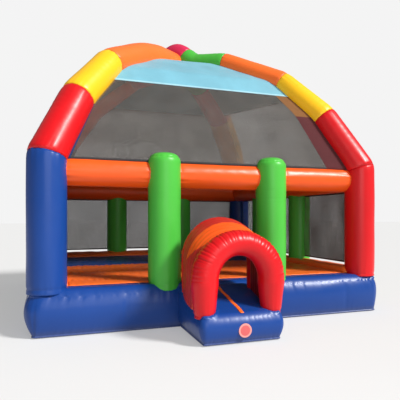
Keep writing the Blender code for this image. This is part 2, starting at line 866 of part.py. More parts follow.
def make_anchor(name, side, y):
    """A webbing tab sewn to the base's side and the steel D-ring that swings in its loop."""
    wall = BASE_HALF + GAP
    pivot = wall + ANCHOR_OFFSET
    loop = arc((pivot, ANCHOR_HEIGHT), ANCHOR_OFFSET, 120, -180, 12)
    strap = [(wall, TAB_TOP), (wall + TAB_THICKNESS, TAB_TOP), *loop]
    hole = arc((pivot, ANCHOR_HEIGHT), TAB_HOLE, 0, 330, 11)
    mesh = outline_mesh(name + "_tab", [strap, hole], TAB_WIDTH)
    mesh.transform(Matrix.Rotation(math.radians(90), 4, "X"))
    if side < 0:
        mesh.transform(Matrix.Rotation(math.radians(180), 4, "Z"))
    tab = add_mesh(name + "_tab", mesh, BLACK, 0.8, smooth=False)
    tab.location = (0, y, 0)

    curve = bpy.data.curves.new(name + "_ring", "CURVE")
    curve.dimensions = "3D"
    curve.bevel_depth = RING_WIRE
    curve.bevel_resolution = 2
    spline = curve.splines.new("POLY")
    bow = arc((0, -0.004), RING_HALF, 180, 360, 10)
    points = [*bow, (RING_HALF * 0.9, 0.0), (-RING_HALF * 0.9, 0.0)]
    spline.points.add(len(points) - 1)
    for point, (across, up) in zip(spline.points, points, strict=True):
        point.co = (0.0, across, up, 1.0)
    spline.use_cyclic_u = True
    mesh = curve_mesh(name + "_ring", curve)
    swinging = add_mesh(name + "_ring", mesh, STEEL, 0.25, 1.0)
    swinging.location = (side * pivot, y, ANCHOR_HEIGHT)


make_base()
make_baffles()
make_floor()
make_bolster()
make_step()
make_stripe()
make_badge()
make_tunnel()
make_corner_posts()
make_mid_posts()
make_beams()
make_arches()
make_upper_nets()
make_canopy()
make_lower_nets()
make_inlet()
for side_name, side_sign in (("left", -1), ("right", 1)):
    make_anchor(side_name + "_front_anchor", side_sign, -ANCHOR_Y)
    make_anchor(side_name + "_back_anchor", side_sign, ANCHOR_Y)
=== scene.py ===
"""Looks of the inflatable bounce house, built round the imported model. Metres, front towards -Y."""

import json
import math

import bmesh
import bpy
import numpy as np
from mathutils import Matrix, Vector


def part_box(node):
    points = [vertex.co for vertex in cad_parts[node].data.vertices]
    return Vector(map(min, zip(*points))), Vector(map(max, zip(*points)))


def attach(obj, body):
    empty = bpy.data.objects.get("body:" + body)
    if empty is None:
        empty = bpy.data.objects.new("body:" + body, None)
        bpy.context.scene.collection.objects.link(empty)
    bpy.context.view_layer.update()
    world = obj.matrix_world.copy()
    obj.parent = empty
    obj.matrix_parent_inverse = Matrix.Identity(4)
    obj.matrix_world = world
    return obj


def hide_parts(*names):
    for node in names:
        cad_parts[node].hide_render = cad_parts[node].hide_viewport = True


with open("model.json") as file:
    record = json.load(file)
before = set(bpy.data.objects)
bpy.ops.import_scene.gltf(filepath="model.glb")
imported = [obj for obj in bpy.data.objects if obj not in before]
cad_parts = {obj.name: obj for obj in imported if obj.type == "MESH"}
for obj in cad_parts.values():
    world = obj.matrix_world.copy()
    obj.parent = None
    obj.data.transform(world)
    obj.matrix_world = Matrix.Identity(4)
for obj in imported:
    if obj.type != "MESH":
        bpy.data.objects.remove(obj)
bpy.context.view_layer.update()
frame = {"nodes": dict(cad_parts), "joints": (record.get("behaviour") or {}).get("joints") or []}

HOUSE = "house"  # the body that everything but the anchor rings rides on
UP = np.array((0.0, 0.0, 1.0))


# ---------------------------------------------------------------- what the frame says


def low(node):
    return np.array(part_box(node)[0])


def high(node):
    return np.array(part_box(node)[1])


def middle(node):
    return (low(node) + high(node)) / 2


POST_LINE = -middle("front_post_left_mid")[1]
BASE_TOP = high("base_shell")[2]
BASE_HALF = high("base_shell")[0]
BEAM_RADIUS = (high("front_beam") - low("front_beam"))[2] / 2
BEAM_HEIGHT = middle("front_beam")[2]

# The arches, as in the CAD source: height of the axes at their bends and the tubes' radii, over the
# way from a corner (0) to the middle of the house (1).
ARCH_PROFILE = ((0.0, 1.98), (0.17, 2.75), (0.38, 3.34), (0.70, 3.77), (1.0, 3.86))
ARM_RADII = {
    "front_left": ((0.0, 0.215), (0.17, 0.21), (0.38, 0.195), (0.70, 0.195), (1.0, 0.19)),
    "front_right": ((0.0, 0.20), (0.17, 0.19), (0.38, 0.165), (0.70, 0.165), (1.0, 0.18)),
    "back_right": ((0.0, 0.22), (0.17, 0.24), (0.38, 0.235), (0.70, 0.20), (1.0, 0.19)),
    "back_left": ((0.0, 0.22), (0.17, 0.24), (0.38, 0.235), (0.70, 0.20), (1.0, 0.18)),
}
HUMP_HEIGHT = 0.19  # how far the upper arch climbs over the lower one
HUMP_START = 0.86
FRONT_CANOPY_EDGE = 0.285
BACK_CANOPY_EDGE = 0.40
CANOPY_TOP = 0.87
CORNERS = {
    "front_left": (-1, -1),
    "front_right": (1, -1),
    "back_right": (1, 1),
    "back_left": (-1, 1),
}
OPPOSITE = dict(zip(CORNERS, ("back_right", "back_left", "front_left", "front_right"), strict=True))
HUMPED = ("front_right", "back_left")
# Each arm's panels and where they end. Past 1 a panel runs on into the opposite arm.
ARMS = {
    "front_left": (("red", 0.17), ("yellow", 0.38), ("orange", 1.0)),
    "front_right": (("red", 0.17), ("yellow", 0.38), ("orange", 0.70), ("green", 0.94)),
    "back_right": (("amber", 0.38), ("red", 0.70), ("green", 1.0)),
    "back_left": (("blue", 0.17), ("orange", 0.70), ("crimson", 1.06)),
}
# The tunnel's rings: the arc's radius, its crown, the tube's radii at the feet, where the arc starts
# and at the crown, and how far the sleeve stands out from the ring's middle line.
RINGS = {
    "tunnel_front_ring": {"half": 0.38, "crown": 1.03, "radii": (0.105, 0.145, 0.135), "sleeve": 0.105},
    "tunnel_rear_ring": {"half": 0.405, "crown": 1.24, "radii": (0.055, 0.06, 0.06), "sleeve": 0.055},
}
SHEET_THICKNESS = 0.003
NET_PITCH = 0.006
# Each wall's axis along it, its side of the house, and its two corners.
WALLS = {
    "front": (0, -1, ("front_left", "front_right")),
    "back": (0, 1, ("back_left", "back_right")),
    "left": (1, -1, ("front_left", "back_left")),
    "right": (1, 1, ("front_right", "back_right")),
}
MID_POSTS = {
    "front": ("front_post_left_mid", "front_post_right_mid"),
    "back": ("back_post_left_mid", "back_post_right_mid"),
    "left": ("left_post_front_mid", "left_post_back_mid"),
    "right": ("right_post_front_mid", "right_post_back_mid"),
}


# ---------------------------------------------------------------- materials


def add_node(tree, kind, **values):
    """A shader node, with its properties and the constants of its sockets set by name."""
    node = tree.nodes.new(kind)
    for key, value in values.items():
        if hasattr(node, key):
            setattr(node, key, value)
        else:
            node.inputs[key.replace("_", " ")].default_value = value
    return node


def fresh(name):
    """A material, its node tree, its Principled shader and the piece's own coordinates."""
    made = bpy.data.materials.new(name)
    made.use_nodes = True
    tree = made.node_tree
    place = add_node(tree, "ShaderNodeTexCoord").outputs["Object"]
    return made, tree, tree.nodes["Principled BSDF"], place


def noise_at(tree, place, scale, detail=3.0, roughness=0.5):
    node = add_node(tree, "ShaderNodeTexNoise", Scale=scale, Detail=detail, Roughness=roughness)
    tree.links.new(place, node.inputs["Vector"])
    return node.outputs["Fac"]


def ranged(tree, value, low_value, high_value, from_low=0.3, from_high=0.7):
    node = tree.nodes.new("ShaderNodeMapRange")
    node.inputs["From Min"].default_value = from_low
    node.inputs["From Max"].default_value = from_high
    node.inputs["To Min"].default_value = low_value
    node.inputs["To Max"].default_value = high_value
    tree.links.new(value, node.inputs["Value"])
    return node.outputs["Result"]


def mixed(tree, factor, one, other):
    """A colour between two: each is a socket or a plain colour."""
    node = tree.nodes.new("ShaderNodeMix")
    node.data_type = "RGBA"
    tree.links.new(factor, node.inputs["Factor"])
    for socket, value in ((node.inputs[6], one), (node.inputs[7], other)):
        if isinstance(value, tuple):
            socket.default_value = (*value, 1.0)
        else:
            tree.links.new(value, socket)
    return node.outputs[2]


def bumped(tree, shader, layers):
    """Bump from several heights, each with a strength and a distance, one over the other."""
    below = None
    for height, strength, distance in layers:
        node = add_node(tree, "ShaderNodeBump", Strength=strength, Distance=distance)
        tree.links.new(height, node.inputs["Height"])
        if below is not None:
            tree.links.new(below, node.inputs["Normal"])
        below = node.outputs["Normal"]
    tree.links.new(below, shader.inputs["Normal"])


def shade(colour, factor):
    return tuple(c * factor for c in colour)


def clouded(tree, place, colour, clouds, dark, light):
    """A colour that drifts between a darker and a lighter tone, by a noise's scale and detail."""
    factor = ranged(tree, noise_at(tree, place, *clouds), 0.0, 1.0)
    return mixed(tree, factor, shade(colour, dark), shade(colour, light))


def coated(tree, shader, place, tone, grain, least, most):
    """A colour, and a roughness that varies by a noise's scale and detail."""
    tree.links.new(tone, shader.inputs["Base Color"])
    gloss = ranged(tree, noise_at(tree, place, *grain), least, most)
    tree.links.new(gloss, shader.inputs["Roughness"])


def larger(tree, one, other):
    node = add_node(tree, "ShaderNodeMath", operation="MAXIMUM")
    tree.links.new(one, node.inputs[0])
    tree.links.new(other, node.inputs[1])
    return node.outputs[0]


def vinyl(name, colour, roughness=0.36, shaded_foot=False):
    """Glossy coated cloth under air pressure: crinkles, a fine scrim, uneven gloss and faint scuffs, and
    where asked painted shade at its foot.
    """
    made, tree, shader, place = fresh(name)
    tone = clouded(tree, place, colour, (1.4, 3.0), 0.94, 1.05)
    scuffs = ranged(tree, noise_at(tree, place, 38.0, 6.0, 0.65), 0.0, 0.05, 0.62, 0.76)
    tone = mixed(tree, scuffs, tone, tuple(0.5 * c + 0.25 for c in colour))
    if shaded_foot:
        # Painted shade: darker towards the bottom, near black at the ground, for the contact shade where
        # the piece meets the floor.
        parts = tree.nodes.new("ShaderNodeSeparateXYZ")
        tree.links.new(place, parts.inputs["Vector"])
        foot_shade = ranged(tree, parts.outputs["Z"], 0.45, 0.0, 0.0, 0.09)
        tone = mixed(tree, foot_shade, tone, (0.10, 0.095, 0.09))
    coated(tree, shader, place, tone, (5.0, 3.0), roughness - 0.03, roughness + 0.06)
    shader.inputs["Specular IOR Level"].default_value = 0.34
    shader.inputs["Coat Weight"].default_value = 0.05
    shader.inputs["Coat Roughness"].default_value = 0.22
    crinkle = noise_at(tree, place, 11.0, 3.0, 0.5)
    scrim = noise_at(tree, place, 420.0, 2.0)
    bumped(tree, shader, ((crinkle, 0.10, 0.010), (scrim, 0.06, 0.0008)))
    return made


def weave(name, colour, pitch, roughness):
    """Woven cloth or webbing: crossing threads of a given pitch."""
    made, tree, shader, place = fresh(name)
    threads = []
    for direction in ("X", "Z"):
        wave = add_node(tree, "ShaderNodeTexWave", Scale=0.32 / pitch, Distortion=0.6)
        wave.bands_direction = direction
        tree.links.new(place, wave.inputs["Vector"])
        threads.append(wave.outputs["Fac"])
    cross = larger(tree, *threads)
    tone = clouded(tree, place, colour, (3.0, 4.0), 0.88, 1.07)
    tone = mixed(tree, ranged(tree, cross, 0.22, 0.0, 0.0, 1.0), tone, shade(colour, 0.55))
    coated(tree, shader, place, tone, (90.0, 3.0), roughness - 0.08, roughness + 0.08)
    shader.inputs["Sheen Weight"].default_value = 0.15
    folds = noise_at(tree, place, 5.0, 3.0)
    bumped(tree, shader, ((folds, 0.25, 0.012), (cross, 0.5, 0.0006)))
    return made


def netting(name, colour, thread):
    """Knitted net: threads over holes, from the sheet's own measure in metres. thread is a thread's
    share of the pitch."""
    made, tree, shader, place = fresh(name)
    measure = add_node(tree, "ShaderNodeUVMap", uv_map="cloth")
    parts = tree.nodes.new("ShaderNodeSeparateXYZ")
    tree.links.new(measure.outputs["UV"], parts.inputs["Vector"])
    lines = []
    for axis in ("X", "Y"):
        cell = add_node(tree, "ShaderNodeMath", operation="PINGPONG")
        cell.inputs[1].default_value = NET_PITCH / 2
        tree.links.new(parts.outputs[axis], cell.inputs[0])
        edge = thread * NET_PITCH / 2
        lines.append(ranged(tree, cell.outputs[0], 1.0, 0.0, edge * 0.7, edge * 1.3))
    tree.links.new(larger(tree, *lines), shader.inputs["Alpha"])
    tone = clouded(tree, place, colour, (4.0, 3.0), 0.8, 1.2)
    coated(tree, shader, place, tone, (60.0, 2.0), 0.72, 0.92)
    return made


def steel(name):
    """Plated wire with fine wear."""
    made, tree, shader, place = fresh(name)
    clouds = noise_at(tree, place, 60.0, 4.0)
    tone = mixed(tree, ranged(tree, clouds, 0.0, 1.0), (0.42, 0.43, 0.44), (0.66, 0.67, 0.68))
    coated(tree, shader, place, tone, (60.0, 4.0), 0.22, 0.42)
    shader.inputs["Metallic"].default_value = 1.0
    scratches = noise_at(tree, place, 900.0, 2.0)
    bumped(tree, shader, ((scratches, 0.15, 0.0002),))
    return made


def ground_paper(name, colour, glow):
    """A plain studio floor with a barely uneven tone, and a glow that keeps its far part white."""
    made, tree, shader, place = fresh(name)
    clouds = noise_at(tree, place, 0.8, 2.0)
    tone = mixed(tree, clouds, shade(colour, 0.99), shade(colour, 1.01))
    tree.links.new(tone, shader.inputs["Base Color"])
    shader.inputs["Roughness"].default_value = 0.95
    shader.inputs["Specular IOR Level"].default_value = 0.0
    shader.inputs["Emission Color"].default_value = (1.0, 1.0, 1.0, 1.0)
    shader.inputs["Emission Strength"].default_value = glow
    return made


COLOURS = {
    "blue": (0.006, 0.050, 0.255),
    "red": (0.640, 0.004, 0.008),
    "yellow": (0.960, 0.540, 0.012),
    "orange": (0.950, 0.165, 0.025),
    "deep_orange": (0.860, 0.098, 0.008),
    "green": (0.070, 0.470, 0.050),
    "crimson": (0.640, 0.022, 0.085),
    "amber": (0.740, 0.340, 0.035),
}
VINYL = {name: vinyl(name + "_vinyl_look", colour) for name, colour in COLOURS.items()}
# The base and the step take painted shade at their foot.
BASE_VINYL = vinyl("base_vinyl_look", COLOURS["blue"], 0.34, shaded_foot=True)
MAT_BLUE = vinyl("mat_blue_look", (0.020, 0.070, 0.270), 0.38)
# Painted shade on the tunnel's sleeve: a darker brick red for its shaded sides and rear, and a dark red
# for its shaded inside.
PAINTED_SHADE_BRICK = vinyl("tunnel_painted_shade_look", (0.470, 0.018, 0.012), 0.42)
PAINTED_SHADE_LINING = vinyl("tunnel_lining_painted_shade_look", (0.230, 0.006, 0.014), 0.48)
BADGE = vinyl("badge_look", (0.640, 0.120, 0.120), 0.40)
BADGE_RIM = vinyl("badge_rim_look", (0.760, 0.300, 0.270), 0.40)
CANOPY = weave("canopy_look", (0.160, 0.440, 0.560), 0.004, 0.55)
HEM = weave("canopy_hem_look", (0.300, 0.580, 0.680), 0.003, 0.6)
FRONT_NET = netting("front_net_look", (0.120, 0.110, 0.100), 0.17)
UPPER_NET = netting("upper_net_look", (0.100, 0.094, 0.088), 0.50)
LOWER_NET = netting("lower_net_look", (0.100, 0.094, 0.088), 0.55)
# Painted shade: dark red and dark amber cloth for strips that stand for the right front arm's shaded inner
# side on the front net.
PAINTED_SHADE_RED = weave("painted_shade_red_look", (0.075, 0.004, 0.007), 0.003, 0.95)
PAINTED_SHADE_AMBER = weave("painted_shade_amber_look", (0.200, 0.075, 0.012), 0.003, 0.95)
# Painted shade: dark navy cloth for a strip that stands for a blue arm's shaded side on the front net; the
# tunnel's rear ring has it on its back too.
DARK_NAVY = weave("dark_navy_look", (0.006, 0.025, 0.110), 0.003, 0.95)
WEBBING = weave("webbing_look", (0.030, 0.030, 0.033), 0.003, 0.75)
BAFFLE = weave("baffle_look", (0.600, 0.600, 0.580), 0.004, 0.7)
STEEL = steel("ring_steel_look")


# ---------------------------------------------------------------- unevenness


def seed_of(name):
    return sum((i + 1) * ord(letter) for i, letter in enumerate(name))


def ripple(points, size, seed, waves=8):
    """Smooth unevenness of about unit height over points, with features of a given size."""
    draw = np.random.default_rng(seed)
    ways = draw.normal(size=(waves, points.shape[-1]))
    ways /= np.linalg.norm(ways, axis=1, keepdims=True)
    ways *= 2 * math.pi / size * draw.uniform(0.6, 1.5, (waves, 1))
    phase = draw.uniform(0, 2 * math.pi, waves)
    return np.sin(points @ ways.T + phase).sum(axis=-1) / math.sqrt(waves)


def folds(line, size, seed):
    """Folds along a girth: the upper half of a ripple, as a row."""
    return np.clip(ripple(line, size, seed), 0, 1)[None, :]


def puckers(angles, seed, least=7, most=26, terms=7):
    """Gathers round a seam: a closed wavy line of about unit height over angles."""
    draw = np.random.default_rng(seed)
    counts = draw.integers(least, most, terms)
    phase = draw.uniform(0, 2 * math.pi, terms)
    return np.sin(np.outer(angles, counts) + phase).sum(axis=1) / math.sqrt(terms)


def seam(distance, angles, seed, pinch=0.008, gather=0.0022):
    """How a tube draws in at a seam, by the distance from it: a groove with gathers beside it."""
    away = np.abs(distance)[:, None]
    groove = -pinch * np.exp(-away / 0.014)
    long_folds = gather * np.exp(-away / 0.11) * puckers(angles, seed)
    short_folds = 0.6 * gather * np.exp(-away / 0.035) * puckers(angles, seed + 1, 18, 44)
    return groove + long_folds + short_folds


# ---------------------------------------------------------------- meshes


def in_scene(thing):
    bpy.context.scene.collection.objects.link(thing)
    return thing


def mesh_piece(name, verts, faces, materials, picks=None):
    """A smooth piece. picks gives each face the number of its material."""
    mesh = bpy.data.meshes.new(name)
    mesh.from_pydata(verts.tolist(), [], faces)
    for look in materials:
        mesh.materials.append(look)
    if picks is not None:
        mesh.polygons.foreach_set("material_index", np.ravel(picks).tolist())
    mesh.shade_smooth()
    return in_scene(bpy.data.objects.new(name, mesh))


def face_out(piece):
    bm = bmesh.new()
    bm.from_mesh(piece.data)
    bmesh.ops.recalc_face_normals(bm, faces=bm.faces)
    bm.to_mesh(piece.data)
    bm.free()
    return piece


def quads(rows, columns, wrap_rows, wrap_columns):
    """Vertex numbers of a grid's faces, row by row."""
    index = np.arange(rows * columns).reshape(rows, columns)
    if wrap_rows:
        index = np.vstack((index, index[:1]))
    if wrap_columns:
        index = np.hstack((index, index[:, :1]))
    corners = (index[:-1, :-1], index[:-1, 1:], index[1:, 1:], index[1:, :-1])
    return np.stack(corners, axis=-1).reshape(-1, 4).tolist()


def closed_skin(name, grid, materials, caps=True, wrap_rows=False, picks=None):
    """A closed piece from rings of points. Its ends are capped, or it closes on itself. picks gives the
    faces' materials where it is capped, and the caps have the first."""
    rows, columns = grid.shape[:2]
    faces = quads(rows, columns, wrap_rows, True)
    if caps:
        faces.append(list(range(columns)))
        faces.append(list(range((rows - 1) * columns, rows * columns)))
    if picks is not None:
        picks = np.append(np.broadcast_to(picks, (rows - 1, columns)), (0, 0))
    return face_out(mesh_piece(name, grid.reshape(-1, 3), faces, materials, picks))


def cloth(name, grid, materials, picks):
    """A sheet from a grid of points, measured in metres for its weave and thickened both ways. Its
    area and flat size come with it."""
    rows, columns = grid.shape[:2]
    faces = quads(rows, columns, False, False)
    piece = mesh_piece(name, grid.reshape(-1, 3), faces, materials, picks)
    across = np.linalg.norm(np.diff(grid, axis=1), axis=-1)
    upward = np.linalg.norm(np.diff(grid, axis=0), axis=-1)
    u = np.hstack((np.zeros((rows, 1)), np.cumsum(across, axis=1)))
    u -= u[:, -1:] / 2
    v = np.vstack((np.zeros((1, columns)), np.cumsum(upward, axis=0)))
    measure = np.stack((u, v), axis=-1).reshape(-1, 2)
    loops = np.zeros(len(piece.data.loops), dtype=int)
    piece.data.loops.foreach_get("vertex_index", loops)
    layer = piece.data.uv_layers.new(name="cloth")
    layer.data.foreach_set("uv", measure[loops].reshape(-1))
    wall = piece.modifiers.new("cloth", "SOLIDIFY")
    wall.thickness = SHEET_THICKNESS
    wall.offset = 0.0
    return piece, sheet_area(grid), (float(across.sum(axis=1).max()), float(upward.sum(axis=0).max()))


def sheet_area(grid):
    """Area of a grid's surface, as two triangles to a cell."""
    a, b, c, d = grid[:-1, :-1], grid[:-1, 1:], grid[1:, 1:], grid[1:, :-1]
    first = np.linalg.norm(np.cross(b - a, c - a), axis=-1).sum()
    second = np.linalg.norm(np.cross(c - a, d - a), axis=-1).sum()
    return float(first + second) / 2


def settle(piece, node, body):
    """The piece stands for its CAD node, whose part is hidden, and moves with its body."""
    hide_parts(node)
    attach(piece, body)


def skin(node, slot, grid, looks, name=None, body=HOUSE, **shape):
    """A closed piece that stands for a CAD node."""
    piece = closed_skin(name or node + "_skin", grid, looks, **shape)
    settle(piece, node, body)
    return piece


def stretched_sheet(node, suffix, grid, looks, picks=None):
    """A stretched sheet for a CAD node."""
    piece, area, flat = cloth(node + suffix, grid, looks, picks)
    settle(piece, node, HOUSE)


def unit(vectors):
    return vectors / np.linalg.norm(vectors, axis=-1, keepdims=True)


def tube_grid(centres, ways, radii, side, angles):
    """Rings of points about a line. radii has one value for each ring and angle."""
    side = np.broadcast_to(side, centres.shape)
    up = unit(np.cross(ways, side))
    ring = np.cos(angles)[None, :, None] * side[:, None] + np.sin(angles)[None, :, None] * up[:, None]
    return centres[:, None] + radii[:, :, None] * ring


def uneven_tube(grid, centres, seed):
    """A blown tube's slow swell and faint crinkle, off its centre line."""
    swell = 0.0014 * ripple(grid, 0.50, seed) + 0.0003 * ripple(grid, 0.12, seed + 1)
    return grid + unit(grid - centres[:, None]) * swell[..., None]


def uneven_post(grid, centres, size, seed):
    """A blown post's slow swell, level and off its centre line."""
    out = unit((grid - centres[:, None]) * (1, 1, 0))
    return grid + out * (0.0012 * ripple(grid, size, seed))[..., None]


def upright(centre, heights):
    """Points up a vertical line, and the way up at each."""
    line = np.column_stack((np.full_like(heights, centre[0]), np.full_like(heights, centre[1]), heights))
    return line, np.tile(UP, (len(heights), 1))


def angles_round(count=72):
    return np.linspace(0, 2 * math.pi, count, endpoint=False)


def along(points):
    """Distance along a line of points."""
    steps = np.linalg.norm(np.diff(points, axis=0), axis=1)
    return np.concatenate(((0.0,), np.cumsum(steps)))


# ---------------------------------------------------------------- arches and posts


def arch_height(corner, share, humped):
    """Height of an arch's axis by its share, with its bends eased. The front left arm's long orange
    panel is eased the most, so that it runs in one curve."""
    ease = 0.02
    if corner == "front_left":
        ease += 0.10 * math.sin(math.pi * min(max((share - 0.38) / 0.62, 0.0), 1.0))
    ease = min(ease, share)
    spread = 1 - np.abs(1 - (share + ease * np.linspace(-1, 1, 9)))
    height = float(np.interp(spread, *zip(*ARCH_PROFILE, strict=True)).mean())
    if humped and share > HUMP_START:
        climb = (share - HUMP_START) / (1 - HUMP_START)
        height += HUMP_HEIGHT * climb * climb * (3 - 2 * climb)
    return height


def arch_point(corner, share, humped=None):
    if share > 1:
        return arch_point(OPPOSITE[corner], 2 - share, humped)
    x, y = CORNERS[corner]
    reach = POST_LINE * (1 - share)
    if humped is None:
        humped = corner in HUMPED
    return np.array((x * reach, y * reach, arch_height(corner, share, humped)))


def arch_direction(corner, share):
    step = 0.004
    way = unit(arch_point(corner, share + step) - arch_point(corner, max(share - step, 0.0)))
    return unit(way + UP) if share == 0.0 else way


def arch_radius(corner, share):
    if share > 1:
        return arch_radius(OPPOSITE[corner], 2 - share)
    return float(np.interp(share, *zip(*ARM_RADII[corner], strict=True)))


def side_of(corner):
    x, y = CORNERS[corner]
    return unit(np.array((-y, x, 0.0)))


def creases(distance, angles, seed):
    """Folds across an arch's underside."""
    depth, pitch = 0.003, 0.085
    draw = np.random.default_rng(seed)
    facing = np.clip(np.cos(angles + math.pi / 2), 0, None) ** 1.5
    drift = 1.2 * np.sin(2 * angles + draw.uniform(0, 6)) + 0.6 * np.sin(5 * angles)
    wave = np.sin(2 * math.pi * distance[:, None] / pitch + drift[None, :])
    uneven = 0.6 + 0.4 * np.sin(distance * 9 + draw.uniform(0, 6))
    return -depth * facing[None, :] * np.clip(wave, -0.2, 1) ** 2 * uneven[:, None]


def make_arch_panel(corner, colour, start, end):
    """One sewn panel of an arch's arm, between two shares of the way up it."""
    name = f"{corner}_arch_{colour}"
    arm_length, row_step, least_rows = 3.6, 0.014, 24
    shares = np.linspace(start, end, max(least_rows, int((end - start) * arm_length / row_step)))
    centres = np.array([arch_point(corner, s) for s in shares])
    ways = np.array([arch_direction(corner, s) for s in shares])
    if start == 0.0:
        ways[1:4] = unit(ways[1:4] + ways[:1] * np.array((0.75, 0.5, 0.25))[:, None])
    radii = np.array([arch_radius(corner, s) for s in shares])
    distance = along(centres)
    angles = angles_round()
    seed = seed_of(name)
    relief = seam(distance, angles, seed) + seam(distance[-1] - distance, angles, seed + 5)
    relief += creases(distance, angles, seed + 9)
    grid = tube_grid(centres, ways, radii[:, None] + relief, side_of(corner), angles)
    skin(name, colour + "_vinyl", uneven_tube(grid, centres, seed), [VINYL[colour]])


def post_relief(heights, angles, seed, foot, neck):
    """Folds up a post: gathers where it leaves the base and a crease under the beam."""
    relief = seam(heights - foot, angles, seed, 0.010, 0.0022)
    line = 0.6 + 0.4 * puckers(angles, seed + 3, 2, 7, 3)
    for i in range(4):
        level = neck - 0.05 * i - 0.004 * (seed + i) % 0.03
        fold = np.exp(-(((heights - level) / 0.006) ** 2))[:, None]
        relief += -0.0016 * fold * np.roll(line, 17 * i)[None, :]
    slack = np.exp(-np.clip(heights - foot, 0, None) / 0.22)[:, None]
    relief += 0.0012 * slack * puckers(angles, seed + 7, 4, 12)[None, :]
    return relief


def make_corner_post(corner):
    """A corner post up to the mitre where its arch starts."""
    name = corner + "_post"
    foot = arch_point(corner, 0.0)
    start = low(name)[2] + 0.01
    mitre = foot[2] + np.array((-0.05, -0.02, 0.0))
    heights = np.concatenate((np.linspace(start, foot[2] - 0.08, 100), mitre))
    centres, ways = upright(foot, heights)
    lean = arch_direction(corner, 0.0)
    ways[-3:] = unit(UP + (lean - UP) * np.array((0.3, 0.7, 1.0))[:, None])
    angles = angles_round()
    seed = seed_of(name)
    relief = post_relief(heights, angles, seed, BASE_TOP, BEAM_HEIGHT - BEAM_RADIUS - 0.02)
    relief += seam(foot[2] - heights, angles, seed + 4)
    belly = 0.002 * np.sin(math.pi * (heights - start) / (foot[2] - start))
    radii = arch_radius(corner, 0.0) - 0.001 + belly[:, None] + relief
    grid = tube_grid(centres, ways, radii, side_of(corner), angles)
    colour = "red" if corner == "front_right" else "blue"
    skin(name, colour + "_vinyl", uneven_post(grid, centres, 0.5, seed + 2), [VINYL[colour]])


def make_mid_post(name):
    """A green post with a gathered dome on top."""
    radius = (high(name) - low(name))[0] / 2
    top = high(name)[2]
    dome = 0.13
    start = BASE_TOP - 0.075
    wall = np.linspace(start, top - dome, 96)
    lift = np.radians(np.linspace(3, 88, 26))
    heights = np.concatenate((wall, top - dome + dome * np.sin(lift) ** 0.92))
    radii = np.concatenate((np.full(len(wall), radius), radius * np.cos(lift) ** 0.62))
    angles = angles_round()
    seed = seed_of(name)
    relief = post_relief(heights, angles, seed, BASE_TOP, BEAM_HEIGHT - BEAM_RADIUS - 0.015)
    above = heights > top - dome
    relief[above] *= (radii[above] / radius)[:, None]
    crown_seam = np.exp(-(((heights - (top - 0.45 * dome)) / 0.012) ** 2))
    relief -= (0.005 * crown_seam)[:, None] * (1 + 0.5 * puckers(angles, seed + 6, 14, 34))[None, :]
    centres, ways = upright(middle(name), heights)
    radii = np.maximum(radii[:, None] + relief, 0.004)
    grid = tube_grid(centres, ways, radii, np.array((1.0, 0, 0)), angles)
    skin(name, "green_vinyl", uneven_post(grid, centres, 0.4, seed + 2), [VINYL["green"]])


def make_beam(wall):
    """A level tube that sags a little, drawn in where it meets each post."""
    name = wall + "_beam"
    axis, _, corners = WALLS[wall]
    start, end = low(name)[axis], high(name)[axis]
    places = np.linspace(start, end, 300)
    centres = np.zeros((len(places), 3))
    centres[:, axis] = places
    centres[:, 1 - axis] = middle(name)[1 - axis]
    centres[:, 2] = BEAM_HEIGHT - 0.008 * np.sin(math.pi * (places - start) / (end - start))
    angles = angles_round()
    seed = seed_of(name)
    relief = np.zeros((len(places), len(angles)))
    stops = [(-POST_LINE, arch_radius(corners[0], 0.0)), (POST_LINE, arch_radius(corners[1], 0.0))]
    for post in MID_POSTS[wall]:
        stops.append((middle(post)[axis], (high(post) - low(post))[0] / 2))
    for i, (place, reach) in enumerate(stops):
        for edge in (place - reach, place + reach):
            relief += seam(places - edge, angles, seed + 11 * i, 0.005, 0.0025)
    ways = np.tile(np.eye(3)[axis], (len(places), 1))
    grid = tube_grid(centres, ways, BEAM_RADIUS - 0.001 + relief, np.eye(3)[1 - axis], angles)
    skin(name, "orange_vinyl", uneven_tube(grid, centres, seed), [VINYL["deep_orange"]])


# ---------------------------------------------------------------- base, mats and bolster


def rounded_box(half_x, half_y, corner, per_side, per_corner):
    """A rounded rectangle's points, always as many and in the same order, anticlockwise."""
    turns = ((1, 1), (-1, 1), (-1, -1), (1, -1))
    reach = np.array((half_x - corner, half_y - corner))
    share = np.linspace(0, 1, per_side + 2)[1:-1, None]
    points = []
    for turn, signs in enumerate(turns):
        centre = reach * signs
        swing = np.radians(90 * turn + np.linspace(0, 90, per_corner))
        points.append(centre + corner * np.column_stack((np.cos(swing), np.sin(swing))))
        rim = points[-1][-1] - centre
        following = reach * turns[(turn + 1) % 4]
        points.append((centre + rim) * (1 - share) + (following + rim) * share)
    return np.concatenate(points)


def pillow_profile(height, roll, waist, inset_steps):
    """Section of an air cushion's edge, from the top's middle over a rolled shoulder to the waist, in
    to a piped hem, and under to the middle. Each point is its inset from the waist, its height and its
    share of the hem's own inset. roll is how far in the shoulder starts."""
    hem = 0.030
    drop = height - waist
    swing = np.radians(np.linspace(90, 0, 22))
    down = np.linspace(0, 1, 26)[1:]
    top = [(inset, height, 0.0) for inset in inset_steps]
    upper = [(roll - roll * math.cos(a), waist + drop * math.sin(a), 0.0) for a in swing]
    lower = [(0.0, waist + (hem - waist) * u, u**1.8) for u in down]
    bead = [(-0.004, hem - 0.006, 1.0), (-0.007, hem - 0.012, 1.0), (-0.004, hem - 0.018, 1.0)]
    foot = [(0.010, 0.006, 1.0), (0.030, 0.0, 1.0)]
    bottom = [(inset, 0.0, 1.0) for inset in reversed(inset_steps)]
    return top + upper + lower + bead + foot + bottom


